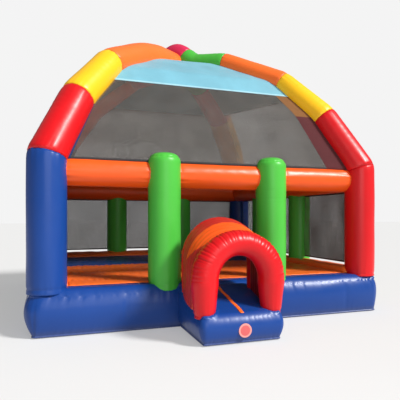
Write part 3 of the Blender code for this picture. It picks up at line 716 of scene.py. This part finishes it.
def cushion(profile, halves, corners, hem_inset, square_from, counts):
    """An air cushion's rings of points, with their insets and heights. corners has the corner's radius
    at the waist and at the hem. From the inset square_from inwards the corners are tighter."""
    corner, hem_corner = corners
    rows = []
    for inset, z, tucked in profile:
        radius = corner + (hem_corner - corner) * tucked
        if inset >= square_from:
            radius = max(corner - inset, hem_corner / 2)
        drawn_in = inset + hem_inset * tucked
        plan = rounded_box(halves[0] - drawn_in, halves[1] - drawn_in, radius, *counts)
        rows.append(np.column_stack((plan, np.full(len(plan), z))))
    insets, heights, _ = (np.array(v)[:, None] for v in zip(*profile, strict=True))
    return np.array(rows), insets, heights


def ring_out(outer, half_x, half_y, corner):
    """Outward directions along a rounded rectangle's points."""
    nearest = np.column_stack(
        (
            np.clip(outer[:, 0], corner - half_x, half_x - corner),
            np.clip(outer[:, 1], corner - half_y, half_y - corner),
        )
    )
    out = np.zeros((len(outer), 3))
    out[:, :2] = unit(outer[:, :2] - nearest + 1e-9)
    return out


def make_base():
    """The air base: full pillowed sides with thin sewn uprights, a rolled shoulder with folds that fan
    out from the posts, and a piped hem drawn in at its corners."""
    corner, waist = 0.17, 0.27
    profile = pillow_profile(BASE_TOP, 0.16, waist, (2.2, 1.6, 1.1, 0.7, 0.45, 0.34, 0.27, 0.22))
    halves = (BASE_HALF - 0.004, BASE_HALF - 0.004)
    grid, insets, heights = cushion(profile, halves, (corner, 0.04), 0.085, 0.05, (160, 16))
    outer = grid[np.argmin(np.abs(heights - waist) + insets)]
    girth = along(outer)
    out = ring_out(outer, BASE_HALF, BASE_HALF, corner)
    seed = seed_of("base")
    line = girth[:, None]
    side = np.clip(1 - insets / 0.22, 0, 1)
    full = np.sin(math.pi * np.clip(heights / BASE_TOP, 0, 1))
    to_front_right = np.hypot(outer[:, 0] - BASE_HALF, outer[:, 1] + BASE_HALF)
    relief = -0.050 * np.exp(-to_front_right / 0.35)[None, :] * full
    uprights = np.arange(0.49, girth[-1], 0.98)
    apart = np.min(np.abs(girth[None, :] - uprights[:, None]), axis=0)[None, :]
    relief = relief - 0.006 * np.exp(-((apart / 0.008) ** 2)) * (0.3 + 0.7 * full)
    relief = relief - 0.010 * np.exp(-apart / 0.09) * full
    relief = relief + 0.003 * full * ripple(line, 0.8, seed)[None, :]
    feet = [middle(post)[:2] for posts in MID_POSTS.values() for post in posts]
    feet += [np.array(place) * POST_LINE for place in CORNERS.values()]
    gap = np.min([np.hypot(outer[:, 0] - x, outer[:, 1] - y) for x, y in feet], axis=0)[None, :]
    fan = np.exp(-np.clip(gap - 0.34, 0, None) / 0.16)
    shoulder = np.exp(-(((heights - 0.44) / 0.09) ** 2))
    relief = relief - 0.012 * fan * shoulder * folds(line, 0.045, seed + 1)
    relief = relief - 0.003 * shoulder * folds(line, 0.05, seed + 4)
    near_foot = np.exp(-np.abs(heights - 0.06) / 0.05)
    relief = relief - 0.006 * near_foot * folds(line, 0.06, seed + 2)
    grid = grid + out[None] * (side * relief)[..., None]
    dimples = np.abs(ripple(grid[..., :2], 0.5, seed + 3)) * np.clip(insets / 0.2, 0, 1)
    grid[..., 2] -= 0.004 * dimples * (heights > 0.3)
    skin("base_shell", "blue_vinyl", grid, [BASE_VINYL], "base_skin")


def make_mat(name, look):
    """A floor mat sewn in channels across the house, with gathers at its seams."""
    channel, rise, rim_width = 0.42, 0.010, 0.03
    lows, highs = low(name), high(name)
    x = np.linspace(lows[0], highs[0], 220)
    y = np.linspace(lows[1], highs[1], 150)
    across, deep = np.meshgrid(x, y)
    place = np.stack((across, deep), axis=-1)
    seed = seed_of(name)
    bow = np.abs(np.sin(math.pi * deep / channel)) ** 0.7
    gathers = 0.60 * ripple(place * (1.0, 0.25), 0.10, seed) * (1 - bow) ** 0.5
    z = highs[2] + rise * (bow + gathers) + 0.0015 * ripple(place, 0.4, seed + 1)
    rim = np.minimum(across - lows[0], highs[0] - across)
    rim = np.minimum(rim, np.minimum(deep - lows[1], highs[1] - deep))
    z = lows[2] + (z - lows[2]) * np.clip(0.25 + rim / rim_width, 0, 1)
    stretched_sheet(name, "_cloth", np.stack((across, deep, z), axis=-1), [look])


def make_bolster():
    """Two padded rolls side by side round the left, back and right walls."""
    name = "wall_bolster"
    lows, highs = low(name), high(name)
    outer = highs[0]
    width = outer - high("floor_mat_center")[0] - 0.001
    back_width = outer - high("floor_mat_center")[1] - 0.001
    rolls = 2
    share = np.linspace(0, 1, 48)
    top = highs[2] - 0.03
    bow = np.abs(np.sin(math.pi * rolls * share)) ** 0.55
    crown = lows[2] + (top - lows[2]) * (0.42 + 0.58 * bow)
    crown[[0, -1]] = lows[2] + 0.02
    offsets = np.concatenate((share, (1.0, 0.0)))
    heights = np.concatenate((crown, (lows[2] + 0.001, lows[2] + 0.001)))
    front = lows[1]
    reach = outer - width * offsets
    deep = outer - back_width * offsets
    rows = []
    for leg in ("left", "back", "right"):
        for u in np.linspace(0, 1, 150):
            if leg == "left":
                x, y = -reach, front + (deep - front) * u
            elif leg == "back":
                x, y = reach * (2 * u - 1), deep
            else:
                x, y = reach, deep + (front - deep) * u
            rows.append(np.column_stack((x, y + 0 * offsets, heights)))
    grid = np.array(rows)
    seed = seed_of(name)
    swell = (grid[..., 2] - lows[2]) / (top - lows[2])
    grid[..., 2] += swell * 0.003 * ripple(grid[..., :2], 0.30, seed)
    grid[..., 2] = np.minimum(grid[..., 2], highs[2] + 0.002)
    for i, share_left in enumerate((0.25, 0.6, 0.85, 0.95)):
        for row in (i, len(grid) - 1 - i):
            grid[row, :, 2] = lows[2] + (grid[row, :, 2] - lows[2]) * share_left
    skin(name, "orange_vinyl", grid, [VINYL["orange"]])


# ---------------------------------------------------------------- nets and canopy


def canopy_edge(corner):
    return FRONT_CANOPY_EDGE if corner.startswith("front") else BACK_CANOPY_EDGE


def ruled(wall, rows, columns, start, end):
    """Level lines from one arm to the other. start and end give each corner's share."""
    one, other = WALLS[wall][2]
    grid = np.zeros((rows, columns, 3))
    for i, u in enumerate(np.linspace(0, 1, rows)):
        ends = []
        for corner in (one, other):
            share = start(corner) + (end(corner) - start(corner)) * u
            ends.append(arch_point(corner, share, humped=False))
        t = np.linspace(0, 1, columns)[:, None]
        grid[i] = ends[0] * (1 - t) + ends[1] * t
    return grid


def pulled_in(grid, wall, depth):
    """Both ends of each level line drawn in, so that they stop inside the arms' skins."""
    axis = WALLS[wall][0]
    half = np.abs(grid[:, -1, axis] - grid[:, 0, axis]) / 2
    scale = 1 - depth / np.maximum(half, 0.3)
    centre = (grid[:, :1] + grid[:, -1:]) / 2
    return centre + (grid - centre) * scale[:, None, None]


def border_picks(rows, columns):
    """Material 1 on a sheet's borders and 0 inside."""
    picks = np.ones((rows - 1, columns - 1), dtype=int)
    picks[1:-1, 1:-1] = 0
    return picks


def make_upper_net(wall):
    """The net from a beam up to the canopy's hem. The front one has strips of painted shade down its
    sides, dark red and dark amber on the right and dark navy on the left, for the arms' shaded inner
    sides.
    """
    name = wall + "_upper_net"
    rows, columns = 70, 110
    grid = ruled(wall, rows - 1, columns, lambda c: 0.0, canopy_edge)
    foot = grid[:1].copy()
    foot[..., 2] = BEAM_HEIGHT + 0.13
    grid = pulled_in(np.concatenate((foot, grid)), wall, 0.11)
    axis, sign, _ = WALLS[wall]
    seed = seed_of(name)
    u = np.linspace(0, 1, columns)[None, :]
    v = np.linspace(0, 1, rows)[:, None]
    slack = np.sin(math.pi * u) * np.sin(math.pi * v)
    billow = 0.012 * slack * (1 + 0.5 * ripple(grid, 0.9, seed))
    grid[..., 1 - axis] += sign * billow
    picks = border_picks(rows, columns)
    looks = [UPPER_NET, WEBBING]
    if wall == "front":
        looks = [FRONT_NET, WEBBING, PAINTED_SHADE_RED, PAINTED_SHADE_AMBER, DARK_NAVY]
        bend = int(rows * ARCH_PROFILE[1][0] / FRONT_CANOPY_EDGE)
        # Painted shade: dark red strips beside the right arm's red panel and dark amber beside its yellow
        # one, for the arm's shaded inner side seen through the net.
        picks[:bend, -12:-1] = 2
        picks[bend:, -12:-1] = 3
        # Painted shade: a dark navy strip down the left side, for the blue back arm's shaded side seen
        # through the net.
        picks[:, 1:4] = 4
    stretched_sheet(name, "_mesh", grid, looks, picks)


def make_lower_net(wall):
    """The net between the base and a beam."""
    name = wall + "_lower_net"
    axis, sign, _ = WALLS[wall]
    lows, highs = low(name), high(name)
    rows, columns = 44, 150
    places = np.linspace(lows[axis] - 0.02, highs[axis] + 0.02, columns)
    heights = np.linspace(lows[2], highs[2] + 0.01, rows)
    across, tall = np.meshgrid(places, heights)
    grid = np.zeros((rows, columns, 3))
    grid[..., axis] = across
    grid[..., 2] = tall
    seed = seed_of(name)
    slack = np.sin(math.pi * (tall - heights[0]) / (heights[-1] - heights[0]))
    grid[..., 1 - axis] = sign * POST_LINE + sign * 0.010 * slack * ripple(grid, 0.7, seed)
    looks = [LOWER_NET, WEBBING]
    picks = border_picks(rows, columns)
    stretched_sheet(name, "_mesh", grid, looks, picks)


def make_canopy(wall):
    """One side of the canopy, hemmed at its lower edge."""
    name = wall + "_canopy"
    rows, columns = 60, 100
    grid = ruled(wall, rows, columns, canopy_edge, lambda c: CANOPY_TOP)
    grid = pulled_in(grid, wall, 0.06)
    seed = seed_of(name)
    u = np.linspace(-1, 1, columns)[None, :]
    v = np.linspace(0, 1, rows)[:, None]
    sag = 0.016 * (1 - u**2) * np.sin(math.pi * v)
    drag = 0.004 * ripple(grid * (1.0, 1.0, 0.3), 0.45, seed) * np.sin(math.pi * v)
    drag = drag + 0.002 * ripple(grid, 0.12, seed + 1) * np.abs(u) ** 3
    grid[..., 2] -= sag + drag
    picks = np.zeros((rows - 1, columns - 1), dtype=int)
    picks[:1] = 1
    holders = [f"{corner}_arch_orange_skin" for corner in WALLS[wall][2] if corner != "back_right"]
    stretched_sheet(name, "_cloth", grid, [CANOPY, HEM], picks)


# ---------------------------------------------------------------- step and tunnel


STEP_LOW = low("entry_step")
STEP_HIGH = high("entry_step")
TUNNEL_X = middle("tunnel_front_ring")[0]
STEP_FRONT_HEIGHT = 0.30
STEP_BACK_HEIGHT = 0.515
STEP_SLOPE = (STEP_BACK_HEIGHT - STEP_FRONT_HEIGHT) / 0.93
STEP_WAIST = 0.17


def step_top(y):
    return STEP_FRONT_HEIGHT + (y - STEP_LOW[1]) * STEP_SLOPE


def front_belly(x, z):
    """How far the step's front stands out."""
    u = np.clip((x - TUNNEL_X) / (STEP_HIGH[0] - TUNNEL_X), -1, 1)
    v = np.clip(z / STEP_FRONT_HEIGHT, 0, 1)
    return 0.008 * np.cos(u * math.pi / 2) * np.sin(v * math.pi)


def make_step():
    """The step: a sloping air cushion with a rolled shoulder, a piped hem with drawn-in corners and
    puckers round the feet of the tunnel's rings."""
    back = -BASE_HALF + 0.10
    half = (STEP_HIGH[0] - STEP_LOW[0]) / 2
    centre_y = (STEP_LOW[1] + back) / 2
    half_y = (back - STEP_LOW[1]) / 2
    corner = 0.07
    profile = pillow_profile(STEP_FRONT_HEIGHT, 0.085, STEP_WAIST, (0.38, 0.30, 0.24, 0.19, 0.15, 0.115))
    grid, insets, heights = cushion(profile, (half, half_y), (corner, 0.02), 0.045, 0.03, (84, 12))
    outer = grid[np.argmin(np.abs(heights - STEP_WAIST) + insets)]
    out = ring_out(outer, half, half_y, corner)
    grid[..., 0] += TUNNEL_X
    grid[..., 1] += centre_y
    grid[..., 2] *= step_top(grid[..., 1]) / STEP_FRONT_HEIGHT
    seed = seed_of("step")
    girth = along(outer)[:, None]
    side = np.clip(1 - insets / 0.1, 0, 1)
    near_top = np.exp(-(((heights - 0.26) / 0.04) ** 2))
    near_foot = np.exp(-np.abs(heights - 0.04) / 0.03)
    relief = -0.0012 * near_top * folds(girth, 0.07, seed)
    relief = relief - 0.003 * near_foot * folds(girth, 0.05, seed + 1)
    grid += out[None] * (side * relief)[..., None]
    on_front = np.clip(-out[:, 1], 0, 1)[None, :]
    grid[..., 1] -= front_belly(grid[..., 0], grid[..., 2]) * on_front * side
    upper = heights > 0.2
    for ring_x in (-RINGS["tunnel_front_ring"]["half"], RINGS["tunnel_front_ring"]["half"]):
        away_x = grid[..., 0] - TUNNEL_X - ring_x
        away_y = grid[..., 1] - middle("tunnel_front_ring")[1]
        reach = np.hypot(away_x, away_y)
        rim = np.exp(-(((reach - 0.125) / 0.016) ** 2))
        swirl = np.cos(15 * np.arctan2(away_y, away_x))
        grid[..., 2] += upper * 0.008 * rim * (1 + 0.3 * swirl)
    grid[..., 2] += 0.002 * upper * np.clip(insets / 0.1, 0, 1) * ripple(grid[..., :2], 0.2, seed + 3)
    skin("entry_step", "blue_vinyl", grid, [BASE_VINYL], "step_skin")


def make_stripe():
    """A soft sewn strip up the middle of the step."""
    name = "step_stripe"
    lows, highs = low(name), high(name)
    section = np.linspace(0, math.pi, 9)
    half = (highs[0] - lows[0]) / 2
    rise = 0.004
    rows = []
    for place in np.linspace(lows[1], highs[1], 90):
        x = TUNNEL_X - half * np.cos(section)
        z = step_top(place) + rise * np.sin(section) ** 0.6 + 0.0015
        rows.append(np.column_stack((x, np.full_like(x, place), z)))
    grid = np.array(rows)
    grid[..., 0] += 0.003 * np.sin(grid[..., 1] * 23)
    grid[..., 2] += 0.0016 * ripple(grid[..., 1:2], 0.05, 5)
    base = grid[:, [-1, 0]].copy()
    base[..., 2] = step_top(base[..., 1]) - 0.004
    skin(name, "orange_vinyl", np.concatenate((grid, base), axis=1), [VINYL["orange"]])


def make_badge():
    """A plain round badge with a raised rim."""
    name = "round_badge"
    centre = middle(name)
    radius = (high(name) - low(name))[0] / 2
    angles = angles_round(64)
    shares = (0.02, 0.35, 0.70, 0.74, 0.77, 0.81, 0.90, 0.94, 0.97, 1.0, 1.0)
    lift = np.array((3.2, 3.2, 3.0, 3.0, 2.2, 3.0, 3.0, 3.6, 3.2, 2.0, -4.0)) / 1000
    rows = []
    for share, out in zip(shares, lift, strict=True):
        x = centre[0] + radius * share * np.cos(angles)
        z = centre[2] + radius * share * np.sin(angles)
        y = STEP_LOW[1] - front_belly(x, z) - out
        rows.append(np.column_stack((x, y, z)))
    picks = np.repeat((0, 1), (3, 7))[:, None]
    skin(name, "badge_vinyl", np.array(rows), [BADGE, BADGE_RIM], name + "_disc", picks=picks)


def hoop_line(node, foot):
    """Centre line, directions, tube radii and turn of a tunnel ring."""
    half, crown = RINGS[node]["half"], RINGS[node]["crown"]
    foot_radius, leg_radius, crown_radius = RINGS[node]["radii"]
    spring = crown - half
    legs = np.linspace(foot, spring, 40)[:-1]
    swing = np.linspace(math.pi, 0, 160)
    x = np.concatenate((np.full(len(legs), -half), half * np.cos(swing), np.full(len(legs), half)))
    z = np.concatenate((legs, spring + half * np.sin(swing), legs[::-1]))
    y = np.full_like(x, middle(node)[1])
    line = np.column_stack((x + TUNNEL_X, y, z))
    ways = unit(np.gradient(line, axis=0))
    levels = (foot, spring - 0.05, spring + 0.5 * half, crown)
    radii = np.interp(z, levels, (foot_radius, leg_radius, leg_radius, crown_radius))
    turning = np.clip((z - spring + 0.05) / 0.1, 0, 1)
    return line, ways, radii, turning


def make_hoop(node, looks, picks_behind=0):
    """A ring of the tunnel: sharp folds across its inner side where it bends, a seam at each foot.
    picks_behind is the number of the look that its back has."""
    line, ways, radii, turning = hoop_line(node, low(node)[2] + 0.01)
    distance = along(line)
    angles = angles_round(96)
    seed = seed_of(node)
    total = distance[-1]
    scale = radii.max() / 0.145
    relief = seam(distance - 0.03, angles, seed, 0.010 * scale, 0.0015 * scale)
    relief = relief + seam(total - distance - 0.03, angles, seed + 3, 0.010 * scale, 0.0015 * scale)
    draw = np.random.default_rng(seed)
    inner_angle = math.pi / 2
    inner = np.clip(np.cos(angles - inner_angle), 0, None) ** 0.3
    for pitch, depth, spread in ((0.036, 0.014, 0.6), (0.023, 0.009, 1.2)):
        for place in np.arange(0.1, total, pitch):
            place += draw.uniform(-0.3, 0.3) * pitch
            lean = draw.uniform(-0.25, 0.25)
            width = pitch * draw.uniform(0.10, 0.17)
            reach = np.clip(np.cos(angles - inner_angle + lean), 0, None) ** spread
            amount = depth * scale * draw.uniform(0.3, 1.0)
            off = (distance - place)[:, None] - 0.02 * lean * np.sin(angles)[None, :]
            fold = amount * np.exp(-((off / width) ** 2)) * turning[:, None]
            relief -= fold * (reach * inner)[None, :]
    grid = tube_grid(line, ways, radii[:, None] + relief, np.array((0.0, 1.0, 0.0)), angles)
    out = unit(grid - line[:, None])
    grid = grid + out * (0.0012 * scale * ripple(grid, 0.25, seed + 7))[..., None]
    behind = np.cos(angles + angles[1] / 2) > 0.35
    skin(node, "red_vinyl", grid, looks, picks=behind * picks_behind)


def make_sleeve():
    """The tunnel's fat ribbed sleeve: orange on its top at the front, painted shade in a darker brick red
    on its sides and rear part, and a dark red painted-shade lining inside.
    """
    name = "tunnel_sleeve"
    lows, highs = low(name), high(name)
    front, rear = RINGS["tunnel_front_ring"], RINGS["tunnel_rear_ring"]
    swing = np.linspace(math.pi, 0, 110)
    steps, leg_steps, ribs = 120, 29, 7
    columns = []
    for outward in (True, False):
        for u in np.linspace(0, 1, steps):
            y = lows[1] - 0.05 + (highs[1] - lows[1] + 0.06) * u
            half, crown, bulge = (front[k] + (rear[k] - front[k]) * u for k in ("half", "crown", "sleeve"))
            spring = crown - half
            rib = abs(math.sin(math.pi * u * ribs)) ** 0.5
            reach = half - 0.035 - 0.006 * rib
            if outward:
                reach = half + bulge + 0.018 * math.sin(math.pi * u) + 0.008 * rib - 0.004
            legs = np.linspace(step_top(y) - 0.02, spring, leg_steps + 1)[:-1]
            sides = np.full(leg_steps, reach)
            x = np.concatenate((-sides, reach * np.cos(swing), sides))
            z = np.concatenate((legs, spring + reach * np.sin(swing), legs[::-1]))
            columns.append(np.column_stack((x + TUNNEL_X, np.full_like(x, y), z)))
    outer, inner = np.array(columns[:steps]), np.array(columns[steps:])
    seed = seed_of(name)
    outer[..., 2] += 0.0015 * ripple(outer, 0.12, seed)
    outer[..., 0] += 0.0015 * ripple(outer, 0.12, seed + 1)
    ring = np.concatenate((outer, inner[:, ::-1]), axis=1)
    wide = outer.shape[1]
    picks = np.zeros((len(ring) - 1, ring.shape[1]), dtype=int)
    # Painted shade: the rear part and the lower sides take the darker brick red, and the inside takes the
    # dark red; the lit top at the front stays orange.
    picks[int(len(ring) * 0.55) :, :wide] = 1
    slant = 0.35 * np.linspace(0, 1, len(ring) - 1)[:, None]
    picks[ring[:-1, :, 2] + slant < front["crown"] - 0.02] = 1
    picks[:, wide:] = 2
    skin(name, "orange_vinyl", ring, [VINYL["deep_orange"], PAINTED_SHADE_BRICK, PAINTED_SHADE_LINING], picks=picks)


# ---------------------------------------------------------------- inlet and anchors


def make_inlet():
    """The blower's cloth sleeve, limp and gathered by a tie, open at its end."""
    name = "blower_inlet_sleeve"
    centre = middle(name)
    u = np.linspace(0, 1, 80)
    start, tied_at = low(name)[1] - 0.03, 0.62
    y = start + (high(name)[1] - start) * u
    line = np.column_stack((np.full_like(y, centre[0]), y, np.full_like(y, centre[2])))
    ways = np.tile((0.0, 1.0, 0.0), (len(y), 1))
    angles = angles_round(64)
    flare = 0.11 + 0.018 * np.clip((u - 0.7) / 0.3, 0, 1)
    tie = -0.014 * np.exp(-(((u - tied_at) / 0.022) ** 2))
    loose = 0.2 + 0.8 * np.exp(-(((u - tied_at) / 0.16) ** 2))
    gathers = 0.005 * loose[:, None] * puckers(angles, seed_of(name), 8, 22)[None, :]
    radii = (flare + tie)[:, None] + gathers
    across = np.array((1.0, 0.0, 0.0))
    outer = tube_grid(line, ways, radii, across, angles)
    inner = tube_grid(line, ways, radii - 0.004, across, angles)[::-1]
    rings = np.concatenate((outer, inner))
    skin(name, "blue_vinyl", rings, [VINYL["blue"]], caps=False, wrap_rows=True)


def make_tab(name, side):
    """A folded webbing strap, sewn to the base, with the ring's bar in its loop."""
    node = name + "_tab"
    lows, highs = low(node), high(node)
    pivot = joint_of(name)["pos_m"]
    pivot_x = abs(pivot[0])
    bar = 0.0072
    inner_x = min(abs(lows[0]), abs(highs[0]))
    swing = np.linspace(math.pi, 2 * math.pi, 24)
    # Down against the base, round the bar, and back up over the first layer to the tail.
    runs = (
        (np.full(18, inner_x + 0.0014), np.linspace(highs[2] - 0.002, pivot[2] + 0.045, 18)),
        (np.linspace(inner_x + 0.0014, pivot_x - bar, 10), pivot[2] + np.linspace(0.040, 0.004, 10)),
        (pivot_x + bar * np.cos(swing), pivot[2] + bar * np.sin(swing)),
        (np.linspace(pivot_x + bar, inner_x + 0.0040, 14), pivot[2] + np.linspace(0.004, 0.052, 14)),
        (np.full(6, inner_x + 0.0040), pivot[2] + np.linspace(0.056, 0.085, 6)),
    )
    x, z = (np.concatenate(parts) for parts in zip(*runs, strict=True))
    line = np.column_stack((side * x, np.full_like(x, pivot[1]), z))
    ways = unit(np.gradient(line, axis=0))
    across = np.array((0.0, 1.0, 0.0))
    normal = np.cross(ways, across)
    half = (highs[1] - lows[1]) / 2
    thick = 0.0011
    under = np.array(((-1, -0.5), (-0.92, -1), (0, -0.85), (0.92, -1), (1, -0.5)))
    section = np.concatenate((under, -under))
    grid = line[:, None] + across * (section[:, :1] * half) + normal[:, None] * (section[:, 1:] * thick)
    skin(node, "webbing", grid, [WEBBING], name + "_strap")


def joint_of(name):
    return next(j for j in frame["joints"] if j["name"] == name + "_swing")


def make_ring(name):
    """A bent steel D-ring hanging from its strap."""
    node = name + "_ring"
    lows, highs = low(node), high(node)
    pivot = np.array(joint_of(name)["pos_m"])
    wire = (highs[0] - lows[0]) / 2
    half = (highs[1] - lows[1]) / 2 - wire
    drop = pivot[2] - lows[2] - wire - half
    swing = np.linspace(math.pi, 2 * math.pi, 48)
    bow = np.column_stack((half * np.cos(swing), -drop + half * np.sin(swing)))
    bar_y = np.linspace(half * 0.88, -half * 0.88, 24)
    bar = np.column_stack((bar_y, np.zeros_like(bar_y)))
    flat = np.concatenate((bow, bar))
    line = np.column_stack((np.zeros(len(flat)), flat)) + pivot
    ways = unit(np.roll(line, -1, axis=0) - np.roll(line, 1, axis=0))
    angles = angles_round(20)
    radii = np.full((len(line), len(angles)), wire)
    grid = tube_grid(line, ways, radii, np.array((1.0, 0.0, 0.0)), angles)
    body = name.replace("_anchor", "") + "_ring"
    skin(node, "steel", grid, [STEEL], name + "_d_ring", body, caps=False, wrap_rows=True)


# ---------------------------------------------------------------- the set


AMBIENT = 0.26  # how strongly the backdrop lights the house
WHITE = 0.905  # how bright the camera sees it


def make_floor():
    """A wide studio floor."""
    mesh = bpy.data.meshes.new("studio_floor")
    bm = bmesh.new()
    bmesh.ops.create_grid(bm, x_segments=1, y_segments=1, size=90.0)
    bm.to_mesh(mesh)
    bm.free()
    mesh.materials.append(ground_paper("studio_floor_look", (0.48, 0.48, 0.48), 0.33))
    in_scene(bpy.data.objects.new("studio_floor", mesh))


def aim(lamp, toward):
    """Turn a lamp so that it shines along a direction."""
    lamp.rotation_euler = toward.to_track_quat("-Z", "Y").to_euler()


def make_light():
    """A white studio: the backdrop looks white, but lights the house less than it looks."""
    world = bpy.data.worlds.new("studio")
    world.use_nodes = True
    tree = world.node_tree
    backdrop = tree.nodes["Background"]
    backdrop.inputs["Color"].default_value = (1.0, 1.0, 1.0, 1.0)
    seen = tree.nodes.new("ShaderNodeLightPath").outputs["Is Camera Ray"]
    tree.links.new(ranged(tree, seen, AMBIENT, WHITE, 0.0, 1.0), backdrop.inputs["Strength"])
    bpy.context.scene.world = world
    key = bpy.data.lights.new("key", "SUN")
    key.energy = 4.2
    key.angle = math.radians(12)
    key.color = (1.0, 0.99, 0.97)
    aim(in_scene(bpy.data.objects.new("key", key)), Vector((-0.62, 0.62, -0.74)))
    fill = bpy.data.lights.new("fill", "AREA")
    fill.energy = 140.0
    fill.size = 4.5
    box = in_scene(bpy.data.objects.new("fill", fill))
    box.location = (-1.0, -9.5, 3.6)
    aim(box, Vector((0.0, 0.0, 1.6)) - box.location)


def make_camera():
    lens = bpy.data.cameras.new("camera")
    lens.lens = 39.8
    lens.sensor_width = 36.0
    lens.shift_y = 0.0425
    camera = in_scene(bpy.data.objects.new("camera", lens))
    camera.location = (-2.07, -7.24, 1.30)
    camera.rotation_euler = (math.radians(90), 0.0, math.radians(-19))
    bpy.context.scene.camera = camera


# ---------------------------------------------------------------- everything


for arm_corner, panels in ARMS.items():
    make_corner_post(arm_corner)
    panel_start = 0.0
    for panel_colour, panel_end in panels:
        make_arch_panel(arm_corner, panel_colour, panel_start, panel_end)
        panel_start = panel_end
for wall_name, posts in MID_POSTS.items():
    for post_name in posts:
        make_mid_post(post_name)
    make_beam(wall_name)
    make_upper_net(wall_name)
    make_canopy(wall_name)
    if wall_name != "front":
        make_lower_net(wall_name)
make_base()
make_mat("floor_mat_front", VINYL["orange"])
make_mat("floor_mat_center", MAT_BLUE)
make_bolster()
make_step()
make_stripe()
make_badge()
make_hoop("tunnel_front_ring", [VINYL["red"]])
make_hoop("tunnel_rear_ring", [VINYL["red"], DARK_NAVY], picks_behind=1)
make_sleeve()
make_inlet()
for side_name, side_sign in (("left", -1), ("right", 1)):
    for end_name in ("front", "back"):
        anchor = f"{side_name}_{end_name}_anchor"
        make_tab(anchor, side_sign)
        make_ring(anchor)
baffles = frame["nodes"]["base_baffles"]
baffles.data.materials.clear()
baffles.data.materials.append(BAFFLE)
make_floor()
make_light()
make_camera()
bpy.context.scene.view_settings.view_transform = "Standard"
